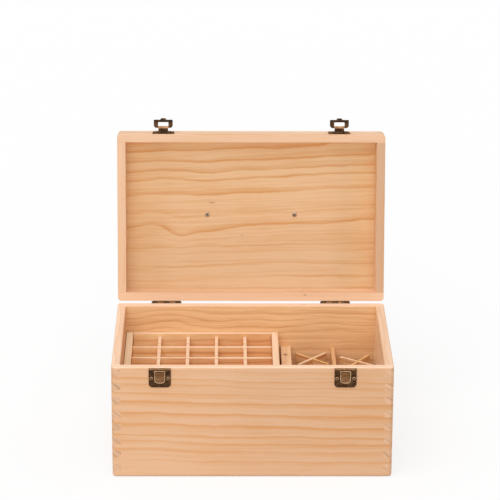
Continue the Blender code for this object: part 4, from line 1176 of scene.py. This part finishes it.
# %% [markdown]
# ## Latch plates and hasps on the lid
#
# The other half of each latch is screwed to the lid: a plate with two knuckles at its lower edge,
# and the hasp that swings from them. They are drawn as if the lid were closed and then turned with
# it about the hinge line. A hasp is drawn hanging down, and turned about its own pin as well.

# %% Turning pieces into the open lid
HINGE_LINE = np.array((0, 0.1029, 0.1363))
HASP_LINE_Y = -103.2
HASP_LINE_Z = 138.6
HASP_REST_TURN = math.radians(90)


def turn_x(points, line, angle):
    """Turns points about a line along X: y and z are mixed by the cosine and sine of the angle."""
    x, y, z = (points - line).T
    cosine, sine = math.cos(angle), math.sin(angle)
    return np.stack([x, y * cosine - z * sine, y * sine + z * cosine], -1) + line


def open_lid(points):
    """From the closed lid to the open one: a turn backwards about the hinge line."""
    return turn_x(points, HINGE_LINE, -LID_TURN)


def standing_hasp(points):
    """From the hanging hasp to its rest, straight out from the lid front, and then with the lid."""
    pin_line = np.array((0, HASP_LINE_Y, HASP_LINE_Z)) * MM
    return open_lid(turn_x(points, pin_line, -HASP_REST_TURN))


# %% [markdown]
# The latch plate has a notch for the barrel of the hasp, so its outline is written out corner by
# corner. The knuckles are short lathe shapes with softened ends, and the two screws show their
# domed heads beside them.

# %% Latch plates
LID_PLATE_LOW = 137.0
LID_PLATE_SCREW = 13.0
BARREL = 1.4
BARREL_RIM = 0.25
NOTCH_HALF, KNUCKLE_END = 6.05, 9.25


def notched_outline(half_width, low, high, corner, notch_half, notch_top):
    """The plate outline with a notch in the middle of its lower edge, counter-clockwise."""
    left = [(-half_width, low), (-notch_half, low), (-notch_half, notch_top), (notch_half, notch_top)]
    upper = [
        corner_points((half_width - corner, high - corner), corner, 0),
        corner_points((-half_width + corner, high - corner), corner, 90),
    ]
    return np.concatenate([[(notch_half, low), (half_width, low)], *upper, left])


def barrel(x_low, x_high, y, z, radius, wear=0.2):
    """A rolled knuckle along X with rounded rims that are rubbed a little more than its middle."""
    length = x_high - x_low
    profile = [
        (radius * 0.45, 0), (radius - BARREL_RIM, 0), (radius, BARREL_RIM), (radius, length - BARREL_RIM),
        (radius - BARREL_RIM, length), (radius * 0.45, length),
    ]
    rim = wear + 0.15
    return turned(profile, (x_low, y, z), (1, 0, 0), [0.0, rim, wear, wear, rim, 0.0])


LID_PLATE = notched_outline(12.75, LID_PLATE_LOW, LID_PLATE_LOW + 21, 3.5, NOTCH_HALF, HASP_LINE_Z + 1.7)
HASP_PIN = [(0.3, 0), (0.55, 0.15), (0.55, 18.35), (0.3, 18.5)]
for side, label in SIDES:
    middle = side * LATCH_X
    shift = np.array((middle, BOX_FACE, 0))
    shells = [stamped(LID_PLATE, SHEET_EDGE, shift)]
    for across in (-1, 1):
        ends = sorted((middle + across * NOTCH_HALF, middle + across * KNUCKLE_END))
        shells.append(barrel(*ends, HASP_LINE_Y, HASP_LINE_Z, BARREL))
        place = shift + (across * SCREW_REACH, -SHEET, LID_PLATE_LOW + LID_PLATE_SCREW)
        shells.append(screw_head(place, (0, -1, 0), 1.1 * across))
    make_piece(f"latch_plate_{label}", shells, "lid", f"lid_plate_{label}", open_lid)
    pin = turned(HASP_PIN, (middle - KNUCKLE_END, HASP_LINE_Y, HASP_LINE_Z), (1, 0, 0), 0.7, 16)
    make_piece(f"latch_pin_{label}", [pin], "lid", f"hasp_pin_{label}", open_lid)

# %% [markdown]
# The hasp is one stamping: a neck, a frame round a window, and a tab to pull it with. The bend
# between neck and window carries a painted highlight, the light it catches drawn as bright brass
# in its wear, while the neck and the far bar stay dark. Seen from the middle of the window, every
# ray crosses its inner and its outer edge once. So it is a loop of rings between two outlines read
# at the same angles, and the bends of the sheet are added last as a push forwards that depends
# only on the height.

# %% Hasps
HASP_WINDOW = plate_outline(6.15, -11.8, -7.1, 0.5, 0.5)
HASP_MIDDLE = np.array((0.0, -9.85))
HASP_SHEET_BACK = 0.3
HASP_NECK, NECK_END = 5.75, -4.9
HASP_HALF, HASP_SHOULDER = 11.25, 3.4
FACE_STEPS = 8
WINDOW_RAYS = 72
EDGE_EASE = 0.25


def hasp_outline():
    """Neck, shoulders, frame and tab of the hanging hasp, counter-clockwise, in mm."""
    foot = [(2.1, -16.5), (2.7, -16.2), (3.7, -14.7), (10.75, -14.7), (HASP_HALF, -14.2)]
    corner = (HASP_HALF - HASP_SHOULDER, NECK_END - HASP_SHOULDER)
    neck = [(HASP_NECK, NECK_END), (HASP_NECK, 0.0)]
    right = np.concatenate([foot, corner_points(corner, HASP_SHOULDER, 0), neck])
    return np.concatenate([right, right[::-1] * (-1, 1)])


def distance_to(outline, middle, angles):
    """For each angle, how far the ray from the middle goes before it crosses the outline.

    A side from P to Q is crossed at the distance (P x (Q - P)) / (d x (Q - P)), when the crossing
    lies between P and Q. All rays and sides are worked out together.
    """
    start = (outline - middle)[None]
    side = (np.roll(outline, -1, 0) - outline)[None]
    ray = np.stack([np.cos(angles), np.sin(angles)], -1)[:, None]
    cross = ray[..., 0] * side[..., 1] - ray[..., 1] * side[..., 0]
    cross = np.where(np.abs(cross) < 1e-9, 1e-9, cross)
    distance = (start[..., 0] * side[..., 1] - start[..., 1] * side[..., 0]) / cross
    share = (start[..., 0] * ray[..., 1] - start[..., 1] * ray[..., 0]) / cross
    valid = (distance > 0) & (share > -1e-6) & (share < 1 + 1e-6)
    return np.where(valid, distance, 1e3).min(1)


def smooth_step(value, start, end):
    """Zero before the start, one after the end, and an S-curve between them."""
    share = np.clip((value - start) / (end - start), 0, 1)
    return share * share * (3 - 2 * share)


def hasp_rings():
    """The loop of rings: back outer, round the outer edge to the front, in to the window and back."""
    outer, inner = hasp_outline(), HASP_WINDOW
    corners = np.concatenate([outer, inner]) - HASP_MIDDLE
    even = np.linspace(-np.pi, np.pi, WINDOW_RAYS, endpoint=False)
    angles = np.unique(np.round(np.concatenate([np.arctan2(corners[:, 1], corners[:, 0]), even]), 4))
    across_face = [(step / FACE_STEPS, 0.0, SHEET) for step in range(1, FACE_STEPS)]
    profile = [
        (0, 0.0, 0.15), (0, 0.0, SHEET - 0.25), (0, 0.1, SHEET - 0.06), (0, EDGE_EASE, SHEET), *across_face,
        (1, -EDGE_EASE, SHEET), (1, -0.1, SHEET - 0.06), (1, 0.0, SHEET - 0.25), (1, 0.0, 0.15),
        (1, -0.15, 0.0), *[(share, 0.0, 0.0) for share, _, _ in across_face[::-1]], (0, 0.15, 0.0),
    ]
    rings = []
    for share, inset, height in profile:
        reach = (1 - share) * distance_to(inset_outline(outer, inset), HASP_MIDDLE, angles)
        reach = reach + share * distance_to(inset_outline(inner, inset), HASP_MIDDLE, angles)
        x = HASP_MIDDLE[0] + reach * np.cos(angles)
        z = HASP_MIDDLE[1] + reach * np.sin(angles)
        rings.append(np.stack([x, np.full_like(x, -HASP_SHEET_BACK - height), z], -1))
    rings = np.stack(rings)
    depth = -rings[..., 2]
    rings[..., 1] -= 0.9 * smooth_step(depth, 4.9, 6.3) + 0.8 * smooth_step(depth, 14.8, 16.9)
    return rings, depth


rings, depth = hasp_rings()
# Painted highlight: the bend below the window is drawn as bright brass for the light it catches.
painted_bend_highlight = smooth_step(depth, 4.2, 4.8) * (np.abs(rings[..., 0]) < 6.3) * (depth < 7.4)
faces = [0.13] * (FACE_STEPS - 1)
edge = np.array([0.1, 0.2, 0.3, 0.15, *faces, 0.13, 0.15, 0.1, 0.1, 0.1, *faces, 0.1])[:, None]
far = smooth_step(depth, 10.9, 11.7)
near = 1 - smooth_step(depth, 4.0, 4.8)
wear = np.clip(edge + 0.45 * painted_bend_highlight - 0.10 * far - 0.12 * near, 0, 1)
for side, label in SIDES:
    middle = side * LATCH_X
    loop = shell(rings + (middle, HASP_LINE_Y, HASP_LINE_Z), wear, loop=True)
    roll = barrel(middle - HASP_NECK, middle + HASP_NECK, HASP_LINE_Y, HASP_LINE_Z, BARREL, 0.1)
    make_piece(f"hasp_loop_{label}", [loop, roll], f"hasp_{label}", f"hasp_{label}", standing_hasp)

# %% [markdown]
# ## Hinges
#
# Each butt hinge has a leaf on the back of the box and one on the back of the lid. Their knuckles
# take turns along one pin. The box leaf is drawn where it is, and the lid leaf is drawn closed
# and turned with the lid, so that both halves share the same line.

# %% Hinges
HINGE_X = 101.5
HINGE_Y = 102.9
HINGE_Z = 136.3
LEAF_BACK = 101.3
LEAF_HALF = 17.0
LEAF_NEAR, LEAF_FAR = 1.85, 16.0
LEAF_SCREW = (11.0, 9.8)
WEB = 2.7
KNUCKLES = 5
KNUCKLE_GAP = 0.3
KNUCKLE_STEP = (2 * LEAF_HALF + KNUCKLE_GAP) / KNUCKLES
HINGE_BARREL = 1.55
KNUCKLE_WEAR = (0.22, 0.56)
HINGE_ROD = [
    (0.5, -0.6), (1.25, -0.6), (1.5, -0.4), (1.5, 0), (0.6, 0),
    (0.6, 34.6), (1.5, 34.6), (1.5, 35.0), (1.25, 35.2), (0.5, 35.2),
]


def hinge_leaf(side, upward, first):
    """The shells of one leaf: plate, the webs that reach round the pin, knuckles and two screws."""
    middle = side * HINGE_X
    near, far = sorted((HINGE_Z + upward * LEAF_NEAR, HINGE_Z + upward * LEAF_FAR))
    back = np.array((middle, LEAF_BACK, 0))
    shells = [stamped(plate_outline(LEAF_HALF, near, far, 0.6, 0.6), SHEET_EDGE, back, -1)]
    for number in range(first, KNUCKLES, 2):
        low = middle - LEAF_HALF + number * KNUCKLE_STEP
        high = low + KNUCKLE_STEP - KNUCKLE_GAP
        shells.append(barrel(low, high, HINGE_Y, HINGE_Z, HINGE_BARREL, KNUCKLE_WEAR[first]))
        web = plate_outline((high - low) / 2, *sorted((HINGE_Z, HINGE_Z + upward * WEB)), 0.05, 0.05)
        shells.append(stamped(web, SHEET_EDGE, ((low + high) / 2, LEAF_BACK, 0), -1))
    for across in (-1, 1):
        place = (middle + across * LEAF_SCREW[0], LEAF_BACK + SHEET, HINGE_Z + upward * LEAF_SCREW[1])
        shells.append(screw_head(place, (0, 1, 0), 0.7 * across + upward))
    return shells


for side, label in SIDES:
    for upward, first, body, place in ((-1, 0, "box", None), (1, 1, "lid", open_lid)):
        leaf = hinge_leaf(side, upward, first)
        make_piece(f"hinge_plate_{label}_{body}", leaf, body, f"hinge_{label}_leaf_{body}", place)
    rod = turned(HINGE_ROD, (side * HINGE_X - LEAF_HALF - 0.3, HINGE_Y, HINGE_Z), (1, 0, 0), 0.0)
    make_piece(f"hinge_rod_{label}", [rod], "box", f"hinge_{label}_pin")

# %% [markdown]
# ## Handle
#
# On top of the lid is a bow handle, cast in one piece with round feet. Its middle line is a squared
# arch, and a circle is carried along it and grows towards the feet. It is screwed on from inside
# the lid, where the two screw heads show on the panel.

# %% Handle
LID_TOP = 172.9
HANDLE_LIFT = 0.3
HANDLE_SPREAD = 105.4
HANDLE_RISE = 24.3
HANDLE_SQUARENESS = 3.2
HANDLE_ROD, HANDLE_WAIST = 3.4, 0.06
FOOT = [(2.0, 0.0), (6.4, 0.0), (6.5, 0.2), (6.5, 1.2), (6.1, 1.8), (5.0, 2.3), (3.6, 2.4), (2.4, 2.4)]
FOOT_WEAR = [0, 0.3, 0.5, 0.3, 0.6, 0.4, 0.2, 0.1]


def bow(steps=56, sides=24):
    """The rod: a circle swept along a squared arch.

    With the angle a from foot to foot, the arch is cos(a) and sin(a), each raised to two over the
    squareness. The circle lies square to the arch, and thins by the waist's share to its middle.
    """
    angle = np.linspace(0, np.pi, steps)
    power = 2 / HANDLE_SQUARENESS
    x = np.sign(np.cos(angle)) * np.abs(np.cos(angle)) ** power * HANDLE_SPREAD / 2
    z = np.sin(angle) ** power * HANDLE_RISE
    run = np.stack([np.gradient(x), np.gradient(z)], -1)
    run[0], run[-1] = (0, 1), (0, -1)
    run /= np.linalg.norm(run, axis=1)[:, None]
    around = np.linspace(0, 2 * np.pi, sides, endpoint=False)
    radius = HANDLE_ROD * (1 - HANDLE_WAIST * np.sin(angle)[:, None])
    px = x[:, None] + radius * np.cos(around) * run[:, 1:2]
    pz = z[:, None] - radius * np.cos(around) * run[:, 0:1]
    py = radius * np.sin(around)
    return np.stack([px, py, pz + LID_TOP + HANDLE_LIFT], -1)


rod = bow()
shells = [shell(rod, 0.15 + 0.35 * (rod[..., 2] - LID_TOP) / HANDLE_RISE)]
for side, _ in SIDES:
    place = (side * HANDLE_SPREAD / 2, 0, LID_TOP + HANDLE_LIFT)
    shells.append(turned(FOOT, place, (0, 0, 1), FOOT_WEAR, 40))
make_piece("bow_handle", shells, "lid", "handle", open_lid)

# %% [markdown]
# The two screws that hold the handle are plain steel with a cross slot. Against the pale panel
# they read as small grey-brown crosses, so they get a lighter, duller metal than the latches.

# %% Handle screws
PANEL_INSIDE = 164.6
STEEL = {"Dark": (0.12, 0.075, 0.055, 1), "Brown": (0.40, 0.27, 0.20, 1), "Brass": (0.72, 0.56, 0.44, 1)}

steel, _, _ = patinated("screw_steel", 0.7, **STEEL)
for side, label in SIDES:
    head = screw_head((side * HANDLE_SPREAD / 2, 0, PANEL_INSIDE), (0, 0, -1), 0.75, radius=3.0, height=1.4)
    name = f"handle_screw_head_{label}"
    make_piece(name, [head], "lid", f"handle_screw_{label}", open_lid, steel)
